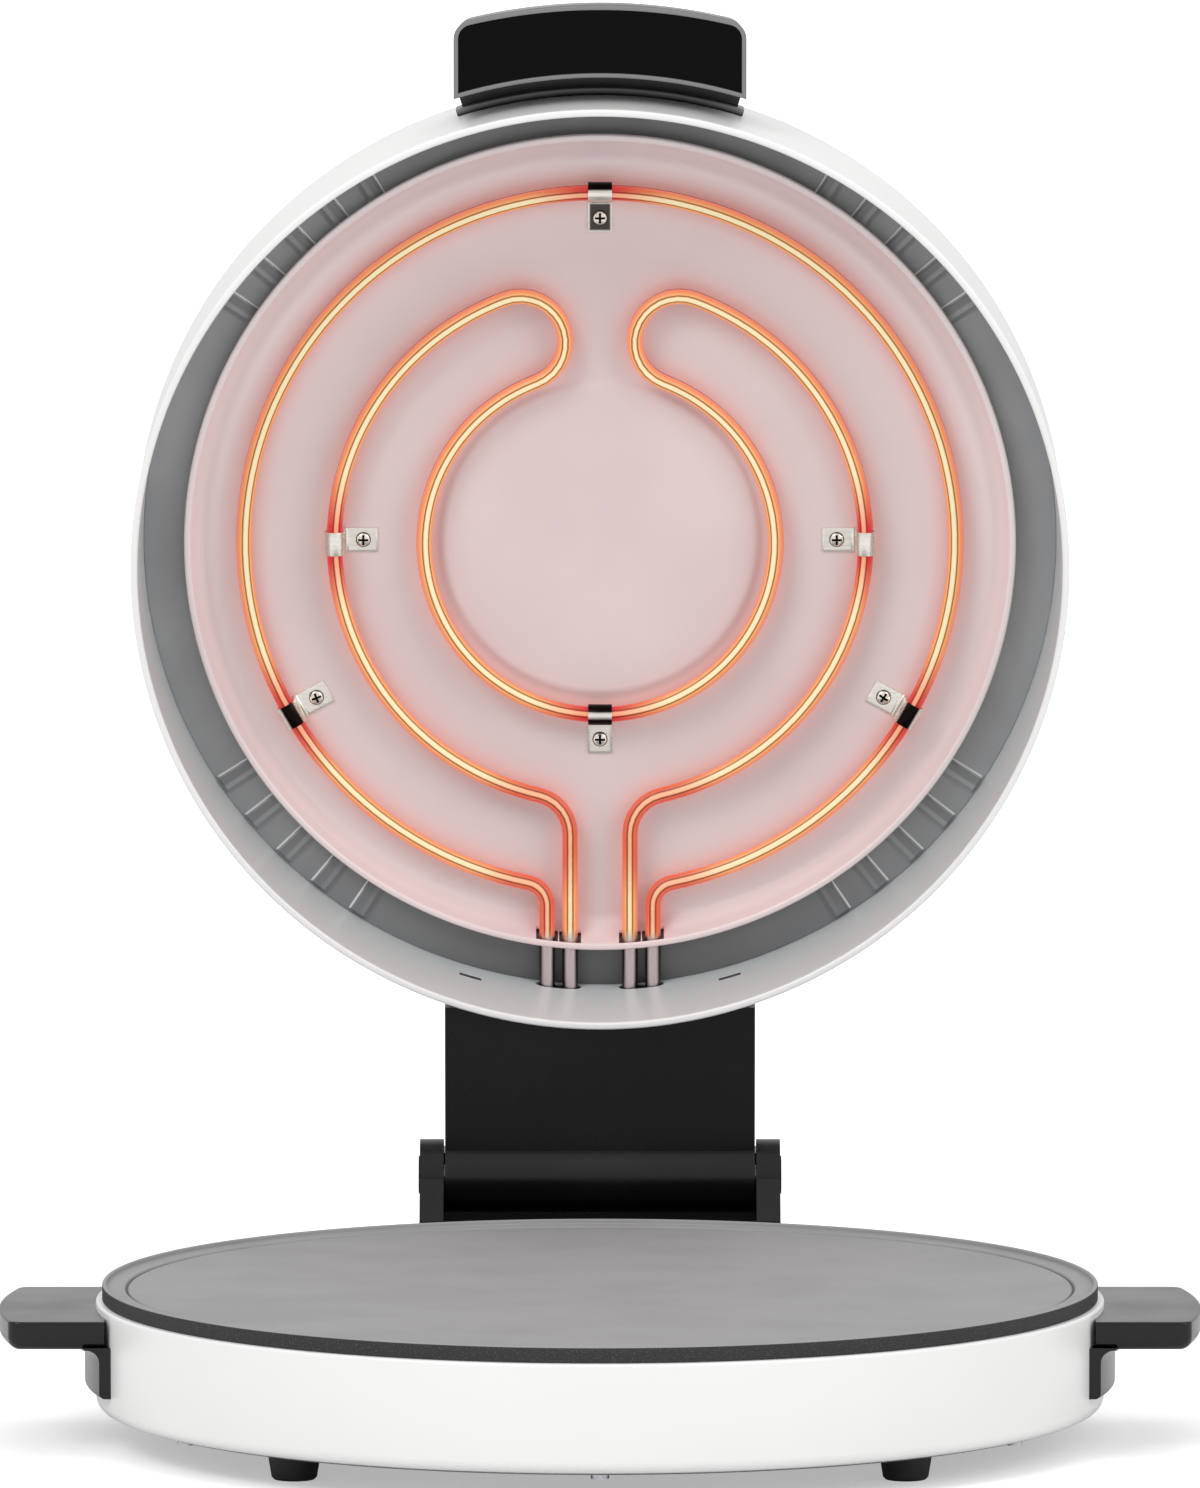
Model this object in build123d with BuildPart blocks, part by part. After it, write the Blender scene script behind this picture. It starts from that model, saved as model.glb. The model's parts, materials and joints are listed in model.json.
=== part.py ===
from build123d import *
import os
from math import asin, atan2, cos, degrees, radians, sin, sqrt

# Electric pizza oven: a round heated baking plate in a white base, and a deep white lid on a
# rear hinge that carries two bent tubular heating elements over a shallow reflector pan.
# Millimetres, +X to the right of someone at the front, +Y to the rear, +Z up.
# The oven stands open, with the lid resting on its stop.

# Base: plate and housing
plate_r = 200.0
base_clearance = 13.0
housing_height = 43.5
housing_overhang = 2.5
housing_wall = 1.0
housing_bottom_round = 5.0
housing_top_round = 1.2
ledge_width = 14.5
bottom_flange_width = 20.0
rim_height = 6.5
rim_lip_width = 1.8
land_width = 7.2
land_drop = 2.0
groove_width = 1.8
groove_depth = 0.9
groove_slope = 0.3
cooking_drop = 0.4
plate_thickness = 5.0
skirt_depth = 4.0
skirt_thickness = 3.0
skirt_gap = 0.8

# Lid: the radii and depths are measured from the lip plane towards the dome
lip_inset = 5.2
lip_width = 3.0
lip_bead_height = 3.0
lip_round = 0.7
bead_proud = 0.5
shell_wall = 0.8
side_height = 62.0
shoulder_r = 26.0
crown_rise = 5.0
inner_wall = 0.8
inner_wall_draft = 0.6
inner_flange_width = 12.0
liner_depth = 67.8
liner_wall = 0.8
sheet_gap = 0.2
rib_count = 5
rib_pitch = 6.0
rib_mid_angle = 45.5
rib_width = 9.0
rib_top_width = 5.0
rib_height = 1.8
sheet_draft = 2.0

# Reflector pan and the elements in front of it
reflector_edge_gap = 16.9
reflector_proud = 10.0
reflector_pan_depth = 12.8
reflector_wall = 0.7
reflector_rim_width = 2.5
reflector_skirt = 3.3
reflector_floor_inset = 10.3
reflector_bend = 5.5
liner_step_inset = 3.3
disc_tube_gap = 5.2
disc_rise = 1.2
leg_window_width = 54.0
leg_window_gap = 0.8
tube_d = 6.5
tube_sink = 4.8
outer_ring_inset = 25.1
outer_ring_pitch = 37.8
inner_ring_pitch = 37.6
hairpin_angle = 21.1
outer_leg_x = 22.3
inner_leg_x = 12.6
outer_bend_r = 10.0
inner_bend_r = 17.0
leg_past_wall = 18.0
bush_thickness = 8.0
bush_wall = 1.4
terminal_pin_r = 1.6
terminal_pin_length = 5.0
terminal_tab = (6.3, 11.0, 0.8)

# Element clips and their screws
clip_width = 10.0
clip_strap = 1.0
clip_gap = 0.2
clip_tab = 18.0
clip_screw_reach = 12.0
clip_screw_r = 1.9
clip_head_r = 3.2
clip_head_height = 1.9
cross_length = 4.4
cross_width = 0.9
cross_depth = 1.1
screw_past_liner = 6.0
standoff_r = 4.5

# Hinge and stand
hinge_set_back = 60.0
hinge_rise = 11.0
lid_lean = 7.0
lid_seat_gap = 0.5
pin_r = 4.0
pin_running_gap = 0.1
pin_press_gap = 0.02
barrel_r = 15.0
barrel_gap = 0.6
ear_gap = 0.6
ear_thickness = 10.0
stop_rise = 8.0
stop_gap = 0.4
heel_depth = 30.0
stand_length = 38.0
stand_wall = 4.0
stand_front_drop = 2.5
stand_shoulder = 14.0
stand_shoulder_rise = 4.0
stand_foot_chamfer = 7.0
stand_edge_round = 12.0
cap_r = 8.0
cap_thickness = 3.0

# Arm between lid and hinge
arm_width = 129.6
arm_front_depth = 4.0
arm_split_depth = 30.0
arm_rear_room = 16.4
arm_slope_start = 26.0
arm_wall = 2.5
arm_round = 5.0
bracket_sheet = 3.0
bracket_spacing = 80.0
bracket_eye_r = 10.5
bracket_taper = 16.0
bracket_depths = (16.0, 52.0)
bracket_tab_x = 54.5
bracket_tab_size = (9.0, 3.0)
bracket_tab_start = 0.9
boss_r = 4.5
arm_screw_x = 52.0
arm_screw_u = 16.0

# Lid handle
handle_width = 121.0
handle_reach = 41.5
handle_gap = 11.2
handle_depth = 15.0
handle_thickness = 35.0
handle_taper = 4.5
handle_corner_r = 8.0
handle_edge_round = 5.0
handle_foot_thickness = 9.0
handle_foot_flange = (3.0, 2.5)
handle_wall = 2.1
handle_room_depth = 28.0
handle_draft = 8.0
handle_cover_gap = 0.3
handle_boss_r = 4.0
handle_screw_x = 36.0

# Side grips
grip_length = 110.0
grip_reach = 39.0
grip_drop = 3.0
grip_thickness = 11.5
grip_leg_height = 31.0
grip_leg_thickness = 4.5
grip_corner_r = 5.0
grip_inner_fillet = 5.0
grip_under_round = 5.0
grip_top_round = 1.0
grip_screw_spacing = 60.0

# Under the base
cover_sheet = 0.8
cover_raise = 3.0
cover_flat_width = 49.5
cover_edge_gap = 7.0
cover_slope = 5.0
vent_count = 12
vent_r = 120.0
vent_length = 34.0
vent_width = 4.0
cover_screw_count = 6
foot_edge_gap = 1.587
foot_r = 9.0
foot_top_r = 10.5
foot_recess_r = 4.6
foot_recess_depth = 4.5
foot_edge = 1.0
foot_collar = 2.0
foot_screw_r = 2.1
stand_foot_x = 56.0
stand_foot_inset = 16.0

# Inside the base
lower_ring_inset = 82.0
lower_leg_x = 12.0
lower_bend_r = 14.0
lower_leg_reach = 162.0
lower_tube_gap = 0.1
clamp_size = (32.0, 12.0, 1.5)
clamp_screw_spread = 20.0
shield_edge_gap = 16.0
shield_drop = 21.0
shield_rim = 9.0
shield_wall = 0.5
tie_rod_r = 2.5
tie_rod_circle = 84.0
nut_r = 4.6
nut_height = 3.0
thermostat_y = -52.0
thermostat_r = 9.0
thermostat_flange = 4.0
thermostat_body = 5.0
thermostat_step = 1.5
thermostat_tab = (0.8, 6.3, 6.0)
thermostat_tab_spacing = 8.0
fuse_x = 44.0
fuse_r = 2.0
fuse_length = 16.0
fuse_strap = 0.6
fuse_strap_width = 6.0
fuse_strap_tail = 12.0
fuse_wire_r = 0.6
fuse_wire_length = 8.0
terminal_block_size = (44.0, 16.0, 14.0)
terminal_block_y = 128.0
terminal_ways = 3
terminal_wall = 3.0
terminal_pocket = 5.0
small_head_r = 3.6
small_head_height = 2.2
small_screw_r = 1.9
screw_length = 20.0
nut_rod_past = 1.0
cut_past = 1.0
backing_width = 116.0
backing_sheet = 1.5
stand_screw_x = 44.0
boss_past = 12.0
stand_screw_rise = (12.0, 32.0)
wire_hole_r = 7.0
gland_x = 28.0
gland_rise = 20.0
gland_bore_r = 3.7
gland_neck_r = 6.0
gland_flange_r = 9.0
gland_flange = 2.5
gland_lip = 1.5
cap_dome = 0.6
running_gap = 0.3

# Base radii and heights that follow
housing_r = plate_r + housing_overhang
housing_top = base_clearance + housing_height
plate_top = housing_top + rim_height
land_z = plate_top - land_drop
cooking_z = land_z - cooking_drop
plate_under_z = cooking_z - plate_thickness
ledge_r = housing_r - ledge_width
skirt_r = ledge_r - skirt_gap
shield_r = ledge_r - shield_edge_gap
lower_ring_r = plate_r - lower_ring_inset
cover_r = housing_r - cover_edge_gap
cover_raised_r = cover_r - cover_flat_width
foot_circle = housing_r - bottom_flange_width - foot_top_r - foot_edge_gap
foot_spread = foot_circle * cos(radians(45))
land_outer_r = plate_r - rim_lip_width
land_inner_r = land_outer_r - land_width

# Lid radii and depths that follow
lid_r = plate_r - lip_inset
side_r = lid_r - bead_proud
lip_inner_r = lid_r - lip_width
lid_bore_r = lip_inner_r - inner_wall_draft
rim_depth = liner_depth - reflector_proud
floor_depth = rim_depth + reflector_pan_depth
tube_r = tube_d / 2
tube_depth = rim_depth + tube_sink
liner_floor = floor_depth + reflector_wall
liner_r = lid_bore_r - sheet_gap
reflector_r = liner_r - reflector_edge_gap
outer_ring_r = reflector_r - outer_ring_inset
middle_ring_r = outer_ring_r - outer_ring_pitch
inner_ring_r = middle_ring_r - inner_ring_pitch
disc_r = inner_ring_r - disc_tube_gap
arm_rear_depth = tube_depth + arm_rear_room
lid_height = side_height + shoulder_r + crown_rise
handle_rear = handle_depth + handle_thickness
handle_screw_depth = handle_rear - handle_foot_thickness / 2

# Hinge axis beside the closed lid, and the lid's place when it stands open
hinge_u = plate_r + hinge_set_back
hinge_z = plate_top + hinge_rise
hinge_depth = hinge_z - land_z - lid_seat_gap
lean = radians(lid_lean)
lip_rear = hinge_u * (1 - sin(lean)) - hinge_depth * cos(lean)
lip_z = hinge_z + hinge_u * cos(lean) - hinge_depth * sin(lean)
shoulder_centre_r = side_r - shoulder_r
rear_reach = (lip_rear + shoulder_centre_r * sin(lean) + side_height * cos(lean)
              + shoulder_r)

# The frame's origin is on the table below the middle of the open oven's length
base_y = -(rear_reach - housing_r) / 2
hinge_y = base_y + hinge_u
open_angle = 90 - lid_lean

# Base planes: radius and height, depth and height
base_section = Plane(origin=(0, base_y, 0), x_dir=(1, 0, 0), z_dir=(0, -1, 0))
side_plane = Plane(origin=(0, base_y, 0), x_dir=(0, 1, 0), z_dir=(1, 0, 0))
base_axis = Axis((0, base_y, 0), (0, 0, 1))

# Lid planes: local x to the right, u from the lid's centre to the hinge, d into the dome
lid_plane = Plane(origin=(0, base_y + lip_rear, lip_z), x_dir=(1, 0, 0),
                  z_dir=(0, cos(lean), sin(lean)))
lid_section = Plane(origin=lid_plane.origin, x_dir=(1, 0, 0), z_dir=(0, -sin(lean), cos(lean)))
lid_side = Plane(origin=lid_plane.origin, x_dir=lid_plane.y_dir, z_dir=(1, 0, 0))
lid_axis = Axis(lid_plane.origin, lid_plane.z_dir)

os.makedirs("parts", exist_ok=True)


def base_level(height):
    """A horizontal plane over the base's centre at a height above the table."""
    return Plane(origin=(0, base_y, height))


def lid_radial_plane(x, u, d):
    """A plane in the lid's frame that faces towards the hinge."""
    return Plane(origin=lid_plane.from_local_coords((x, u, d)), x_dir=(1, 0, 0),
                 z_dir=lid_plane.y_dir)


def save(builder, name):
    """Label a finished sub-part and write its file."""
    builder.part.label = name
    export_step(builder.part, f"parts/{name}.step")


def closed_section(plane, points):
    """A face on a plane from its corner points."""
    with BuildSketch(plane) as section:
        with BuildLine():
            Polyline(*points, close=True)
        make_face()
    return section.sketch


def dome_section(plane, inset):
    """Half section of the lid's outer form, drawn in by an inset, from the lip to the crown."""
    wall_r = side_r - inset
    corner_r = shoulder_r - inset
    height = lid_height - inset
    drop = height - side_height
    big_r = (shoulder_centre_r**2 + drop**2 - corner_r**2) / (2 * (drop - corner_r))
    lift = asin(shoulder_centre_r / (big_r - corner_r))
    join = (shoulder_centre_r + corner_r * sin(lift), side_height + corner_r * cos(lift))
    half_turn = radians(45) - lift / 2
    mid = (shoulder_centre_r + corner_r * cos(half_turn),
           side_height + corner_r * sin(half_turn))
    crown_half = lift / 2
    crown_mid = (big_r * sin(crown_half), height - big_r * (1 - cos(crown_half)))
    with BuildSketch(plane) as section:
        with BuildLine():
            Line((0, 0), (wall_r, 0))
            Line((wall_r, 0), (wall_r, side_height))
            ThreePointArc((wall_r, side_height), mid, join)
            ThreePointArc(join, crown_mid, (0, height))
            Line((0, height), (0, 0))
        make_face()
    return section.sketch


def ring_ends(ring_r, leg_x, bend_r):
    """Height of a bend's centre below the ring's centre, and its contact angle on the ring."""
    centre_u = sqrt((ring_r + bend_r) ** 2 - (leg_x + bend_r) ** 2)
    return centre_u, degrees(atan2(centre_u, leg_x + bend_r))


def ring_path(ring_r, leg_x, bend_r, leg_end):
    """One ring between two parallel legs, as tangent arcs and lines."""
    centre_u, contact = ring_ends(ring_r, leg_x, bend_r)
    Line((-leg_x, leg_end), (-leg_x, centre_u))
    CenterArc((-leg_x - bend_r, centre_u), bend_r, 0, -contact)
    CenterArc((0, 0), ring_r, 180 - contact, 180 + 2 * contact)
    CenterArc((leg_x + bend_r, centre_u), bend_r, contact - 180, -contact)
    Line((leg_x, centre_u), (leg_x, leg_end))


def double_ring_path(outer_r, inner_r, leg_x, bend_r, turn_angle, leg_end):
    """Two arcs joined to an inner ring by two hairpins, between two parallel legs."""
    centre_u, contact = ring_ends(outer_r, leg_x, bend_r)
    pin_r_mid = (outer_r + inner_r) / 2
    turn_r = (outer_r - inner_r) / 2
    left = 270 - turn_angle
    right = 270 + turn_angle
    left_centre = (pin_r_mid * cos(radians(left)), pin_r_mid * sin(radians(left)))
    right_centre = (-left_centre[0], left_centre[1])
    Line((-leg_x, leg_end), (-leg_x, centre_u))
    CenterArc((-leg_x - bend_r, centre_u), bend_r, 0, -contact)
    CenterArc((0, 0), outer_r, 180 - contact, left - 180 + contact)
    CenterArc(left_centre, turn_r, left, 180)
    CenterArc((0, 0), inner_r, left, right - 360 - left)
    CenterArc(right_centre, turn_r, right - 180, 180)
    CenterArc((0, 0), outer_r, right, 360 + contact - right)
    CenterArc((leg_x + bend_r, centre_u), bend_r, contact - 180, -contact)
    Line((leg_x, centre_u), (leg_x, leg_end))


def round_screw(plane, head_r, head_height, shank_r, shank_length):
    """A pan-head screw: its head stands on the plane and its shank goes the other way."""
    with BuildSketch(plane) as head:
        Circle(head_r)
    extrude(head.sketch, amount=head_height)
    with BuildSketch(plane) as shank:
        Circle(shank_r)
    extrude(shank.sketch, amount=-shank_length)


# The housing: a rolled steel ring, open below, with a ledge for the plate
housing_inner_r = housing_r - housing_wall
flange_inner_r = housing_r - bottom_flange_width
flange_top = base_clearance + housing_wall
ledge_under = housing_top - housing_wall
with BuildPart() as base_housing:
    with BuildSketch(base_section) as housing_section:
        with BuildLine():
            Polyline((flange_inner_r, base_clearance), (housing_r, base_clearance),
                     (housing_r, housing_top), (ledge_r, housing_top), (ledge_r, ledge_under),
                     (housing_inner_r, ledge_under), (housing_inner_r, flange_top),
                     (flange_inner_r, flange_top), close=True)
        make_face()
        corners = housing_section.vertices()
        fillet(corners.sort_by_distance((housing_r, base_clearance))[0], housing_bottom_round)
        fillet(housing_section.vertices().sort_by_distance((housing_inner_r, flange_top))[0],
               housing_bottom_round - housing_wall)
        fillet(housing_section.vertices().sort_by_distance((housing_r, housing_top))[0],
               housing_top_round)
    revolve(axis=base_axis)
    grip_screw_z = housing_top - grip_drop - grip_thickness / 2
    for end in (-1, 1):
        with Locations((0, base_y + end * grip_screw_spacing / 2, grip_screw_z)):
            Cylinder(small_screw_r + running_gap, 2 * housing_r + 2, rotation=(0, 90, 0),
                     mode=Mode.SUBTRACT)
    for side in (-1, 1):
        for rise in stand_screw_rise:
            with Locations((side * stand_screw_x, base_y + housing_r, base_clearance + rise)):
                Cylinder(small_screw_r + running_gap, housing_r, rotation=(90, 0, 0),
                         mode=Mode.SUBTRACT)
    with Locations((0, base_y + housing_r, base_clearance + gland_rise)):
        Cylinder(wire_hole_r, 8 * stand_wall, rotation=(90, 0, 0), mode=Mode.SUBTRACT)
    cover_screw_circle = (flange_inner_r + housing_r - cover_edge_gap) / 2
    with Locations(base_level(base_clearance)):
        with PolarLocations(cover_screw_circle, cover_screw_count, start_angle=30):
            Cylinder(small_screw_r + running_gap, 4 * housing_wall, mode=Mode.SUBTRACT)
save(base_housing, "base_housing")

# The baking plate: a cast disc with a raised outer lip, a land for the lid and a drip groove
groove_z = land_z - groove_depth
groove_inner_r = land_inner_r - groove_width
with BuildPart() as baking_plate:
    with BuildSketch(base_section) as plate_section:
        with BuildLine():
            Polyline((0, plate_under_z), (skirt_r - skirt_thickness, plate_under_z),
                     (skirt_r - skirt_thickness, housing_top - skirt_depth),
                     (skirt_r, housing_top - skirt_depth), (skirt_r, housing_top),
                     (plate_r, housing_top), (plate_r, plate_top), (land_outer_r, plate_top),
                     (land_outer_r, land_z), (land_inner_r, land_z),
                     (land_inner_r - groove_slope, groove_z),
                     (groove_inner_r + groove_slope, groove_z),
                     (groove_inner_r, cooking_z), (0, cooking_z), close=True)
        make_face()
        fillet(plate_section.vertices().sort_by_distance((plate_r, plate_top))[0],
               rim_lip_width / 2)
    revolve(axis=base_axis)
save(baking_plate, "baking_plate")

# Lower heating ring, pressed up against the plate by four clamps
lower_tube_z = plate_under_z - lower_tube_gap - tube_r
with BuildPart() as lower_element:
    with BuildLine(base_level(lower_tube_z)) as lower_path:
        ring_path(lower_ring_r, lower_leg_x, lower_bend_r, lower_leg_reach)
    with BuildSketch(Plane(origin=lower_path.line @ 0, z_dir=lower_path.line % 0)):
        Circle(tube_r)
    sweep()
save(lower_element, "lower_element")

clamp_top = lower_tube_z - tube_r - lower_tube_gap
clamp_level = Plane(origin=(0, base_y, clamp_top))
with BuildPart() as element_clamps:
    for angle in (0, 60, 180, 240, 300, 120):
        spot = base_level(clamp_top).rotated((0, 0, angle))
        with BuildSketch(spot):
            with Locations((lower_ring_r, 0)):
                Rectangle(clamp_size[0], clamp_size[1])
                with Locations((-clamp_screw_spread / 2, 0), (clamp_screw_spread / 2, 0)):
                    Circle(small_screw_r + pin_running_gap, mode=Mode.SUBTRACT)
        extrude(amount=-clamp_size[2])
save(element_clamps, "element_clamps")

with BuildPart() as clamp_screws:
    for angle in (0, 60, 180, 240, 300, 120):
        for end in (-1, 1):
            spot = Plane(origin=(0, base_y, clamp_top - clamp_size[2]), z_dir=(0, 0, -1))
            spot = spot.rotated((0, 0, angle))
            head = spot.from_local_coords((lower_ring_r + end * clamp_screw_spread / 2, 0, 0))
            round_screw(Plane(origin=head, z_dir=(0, 0, -1)), small_head_r, small_head_height,
                        small_screw_r, plate_under_z - clamp_top + clamp_size[2])
save(clamp_screws, "clamp_screws")

# Heat shield below the ring, hung on four tie rods that also hold the bottom cover
shield_z = plate_under_z - shield_drop
with BuildPart() as heat_shield:
    outline = closed_section(base_section, [
        (0, shield_z), (shield_r - shield_rim, shield_z), (shield_r, shield_z + shield_rim),
        (shield_r - shield_wall, shield_z + shield_rim),
        (shield_r - shield_rim - shield_wall / 2, shield_z + shield_wall),
        (0, shield_z + shield_wall)])
    revolve(outline, axis=base_axis)
    with Locations(base_level(shield_z)):
        with PolarLocations(tie_rod_circle, 4, start_angle=45):
            Cylinder(tie_rod_r + running_gap, 4 * shield_wall, mode=Mode.SUBTRACT)
save(heat_shield, "heat_shield")

# Bottom cover: a pressed disc with a raised middle and a circle of vents
cover_z = base_clearance - cover_sheet
raised_z = base_clearance + cover_raise - cover_sheet
with BuildPart() as bottom_cover:
    outline = closed_section(base_section, [
        (0, raised_z), (cover_raised_r, raised_z), (cover_raised_r + cover_slope, cover_z),
        (cover_r, cover_z), (cover_r, base_clearance),
        (cover_raised_r + cover_slope + cover_sheet / 2, base_clearance),
        (cover_raised_r + cover_sheet / 2, raised_z + cover_sheet), (0, raised_z + cover_sheet)])
    revolve(outline, axis=base_axis)
    with BuildSketch(base_level(cover_z)):
        with PolarLocations(vent_r, vent_count, start_angle=15):
            SlotOverall(vent_length, vent_width)
    extrude(amount=2 * cover_raise + cover_sheet, mode=Mode.SUBTRACT)
    with Locations(base_level(raised_z)):
        with PolarLocations(tie_rod_circle, 4, start_angle=45):
            Cylinder(tie_rod_r + running_gap, 4 * cover_sheet, mode=Mode.SUBTRACT)
    with Locations(base_level(cover_z)):
        with PolarLocations(cover_screw_circle, cover_screw_count, start_angle=30):
            Cylinder(small_screw_r + running_gap, 4 * cover_sheet, mode=Mode.SUBTRACT)
        with Locations((-foot_spread, -foot_spread), (foot_spread, -foot_spread),
                       (-foot_spread, foot_spread), (foot_spread, foot_spread)):
            Cylinder(foot_screw_r, 4 * cover_sheet, mode=Mode.SUBTRACT)
save(bottom_cover, "bottom_cover")

with BuildPart() as cover_screws:
    for place in PolarLocations(cover_screw_circle, cover_screw_count, start_angle=30):
        spot = place.position
        round_screw(Plane(origin=(spot.X, base_y + spot.Y, cover_z), z_dir=(0, 0, -1)),
                    small_head_r, small_head_height, small_screw_r, 5 * housing_wall)
save(cover_screws, "cover_screws")

with BuildPart() as tie_rods:
    for place in PolarLocations(tie_rod_circle, 4, start_angle=45):
        x, y = place.position.X, base_y + place.position.Y
        with BuildSketch(Plane(origin=(x, y, raised_z - nut_height))):
            RegularPolygon(nut_r, 6)
        extrude(amount=nut_height)
        with BuildSketch(Plane(origin=(x, y, shield_z - nut_height))):
            RegularPolygon(nut_r, 6)
        extrude(amount=nut_height)
        rod_foot = raised_z - nut_height - nut_rod_past
        with BuildSketch(Plane(origin=(x, y, rod_foot))):
            Circle(tie_rod_r)
        extrude(amount=plate_under_z - rod_foot)
save(tie_rods, "tie_rods")

# Controls inside the base: thermostat and fuse on the plate, terminal block on the cover
with BuildPart() as thermostat:
    thermostat_face = Plane(origin=(0, base_y + thermostat_y, plate_under_z), z_dir=(0, 0, -1))
    with BuildSketch(thermostat_face):
        Circle(thermostat_r)
    extrude(amount=thermostat_flange)
    with BuildSketch(thermostat_face.offset(thermostat_flange)):
        Circle(thermostat_r - thermostat_step)
    extrude(amount=thermostat_body)
    with BuildSketch(thermostat_face.offset(thermostat_flange + thermostat_body)):
        with GridLocations(thermostat_tab_spacing, 1, 2, 1):
            Rectangle(thermostat_tab[0], thermostat_tab[1])
    extrude(amount=thermostat_tab[2])
save(thermostat, "thermostat")

fuse_drop = fuse_r + fuse_strap
with BuildPart() as thermal_fuse:
    fuse_centre = (fuse_x, base_y + thermostat_y, plate_under_z - fuse_drop)
    with Locations(fuse_centre):
        Cylinder(fuse_r, fuse_length, rotation=(0, 90, 0))
        Cylinder(fuse_wire_r, fuse_length + 2 * fuse_wire_length, rotation=(0, 90, 0))
    with BuildSketch(Plane(origin=fuse_centre, x_dir=(0, 1, 0), z_dir=(1, 0, 0))):
        Circle(fuse_drop)
        with Locations((fuse_strap_tail / 2, fuse_r + fuse_strap / 2)):
            Rectangle(fuse_strap_tail, fuse_strap)
        Circle(fuse_r, mode=Mode.SUBTRACT)
    extrude(amount=fuse_strap_width / 2, both=True)
save(thermal_fuse, "thermal_fuse")

block_length, block_width, block_height = terminal_block_size
with BuildPart() as terminal_block:
    block_seat = Plane(origin=(0, base_y + terminal_block_y, raised_z + cover_sheet))
    with BuildSketch(block_seat):
        Rectangle(block_length, block_width)
    extrude(amount=block_height)
    with BuildSketch(block_seat.offset(block_height)):
        with GridLocations(block_length / terminal_ways, 1, terminal_ways, 1):
            Rectangle(block_length / terminal_ways - terminal_wall,
                      block_width - 2 * terminal_wall)
    extrude(amount=-terminal_pocket, mode=Mode.SUBTRACT)
save(terminal_block, "terminal_block")

# Rubber feet: four under the cover and two under the hinge stand
foot_height = cover_z
stand_half = arm_width / 2 + ear_gap + ear_thickness
stand_rear = hinge_y + stand_length
foot_places = {
    "foot_front_left": (-foot_spread, base_y - foot_spread),
    "foot_front_right": (foot_spread, base_y - foot_spread),
    "foot_rear_left": (-foot_spread, base_y + foot_spread),
    "foot_rear_right": (foot_spread, base_y + foot_spread),
    "stand_foot_left": (-stand_foot_x, stand_rear - stand_foot_inset),
    "stand_foot_right": (stand_foot_x, stand_rear - stand_foot_inset),
}
for foot_name, (x, y) in foot_places.items():
    top = base_clearance if foot_name.startswith("stand") else foot_height
    with BuildPart() as foot:
        with BuildSketch(Plane(origin=(x, y, 0), x_dir=(1, 0, 0), z_dir=(0, -1, 0))):
            with BuildLine():
                Polyline((foot_screw_r, foot_recess_depth), (foot_recess_r, foot_recess_depth),
                         (foot_recess_r, 0), (foot_r - foot_edge, 0), (foot_r, foot_edge),
                         (foot_top_r, top - foot_collar),
                         (foot_top_r, top), (foot_screw_r, top), close=True)
            make_face()
        revolve(axis=Axis((x, y, 0), (0, 0, 1)))
    save(foot, foot_name)

with BuildPart() as foot_screws:
    for foot_name, (x, y) in foot_places.items():
        round_screw(Plane(origin=(x, y, foot_recess_depth), z_dir=(0, 0, -1)),
                    foot_recess_r - running_gap, small_head_height,
                    foot_screw_r - pin_running_gap,
                    base_clearance + foot_collar - foot_recess_depth)
save(foot_screws, "foot_screws")

# Side grips: a ledge that follows the housing, with a leg down its wall
grip_top = housing_top - grip_drop
grip_under = grip_top - grip_thickness
grip_r = housing_r + grip_reach
leg_bottom = grip_top - grip_leg_height
leg_r = housing_r + grip_leg_thickness
for side, grip_name in ((-1, "left_grip"), (1, "right_grip")):
    with BuildPart() as grip_leg:
        with BuildSketch(base_section) as leg_profile:
            with BuildLine():
                Polyline((housing_r, leg_bottom), (leg_r, leg_bottom), (leg_r, grip_under),
                         (leg_r + grip_inner_fillet + cut_past, grip_under),
                         (leg_r + grip_inner_fillet + cut_past, grip_under + cut_past),
                         (housing_r, grip_under + cut_past), close=True)
            make_face()
            fillet(leg_profile.vertices().sort_by_distance((leg_r, grip_under))[0],
                   grip_inner_fillet)
            fillet(leg_profile.vertices().sort_by_distance((leg_r, leg_bottom))[0],
                   grip_leg_thickness / 2)
        revolve(axis=base_axis)
        with Locations((side * housing_r, base_y, grip_top)):
            Box(2 * grip_reach, grip_length, 4 * grip_leg_height, mode=Mode.INTERSECT)
    with BuildPart() as grip:
        with BuildSketch(base_level(grip_under)) as ledge:
            Circle(grip_r)
            with Locations((side * grip_r, 0)):
                Rectangle(2 * grip_reach + 2 * grip_corner_r, grip_length,
                          mode=Mode.INTERSECT)
            fillet(ledge.vertices().group_by(Axis.X)[-1 if side > 0 else 0], grip_corner_r)
            Circle(housing_r, mode=Mode.SUBTRACT)
        extrude(amount=grip_thickness)
        outer_edges = grip.edges().filter_by(
            lambda edge: abs((edge @ 0.5).X) > grip_r - grip_reach / 3)
        top_edges = outer_edges.group_by(Axis.Z)[-1]
        under_edges = outer_edges.group_by(Axis.Z)[0]
        fillet(top_edges, grip_top_round)
        fillet(under_edges, grip_under_round)
        add(grip_leg.part)
        for end in (-1, 1):
            with Locations((side * housing_r, base_y + end * grip_screw_spacing / 2,
                            grip_screw_z)):
                Cylinder(small_screw_r, 2 * screw_length, rotation=(0, 90, 0),
                         mode=Mode.SUBTRACT)
    save(grip, grip_name)

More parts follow.
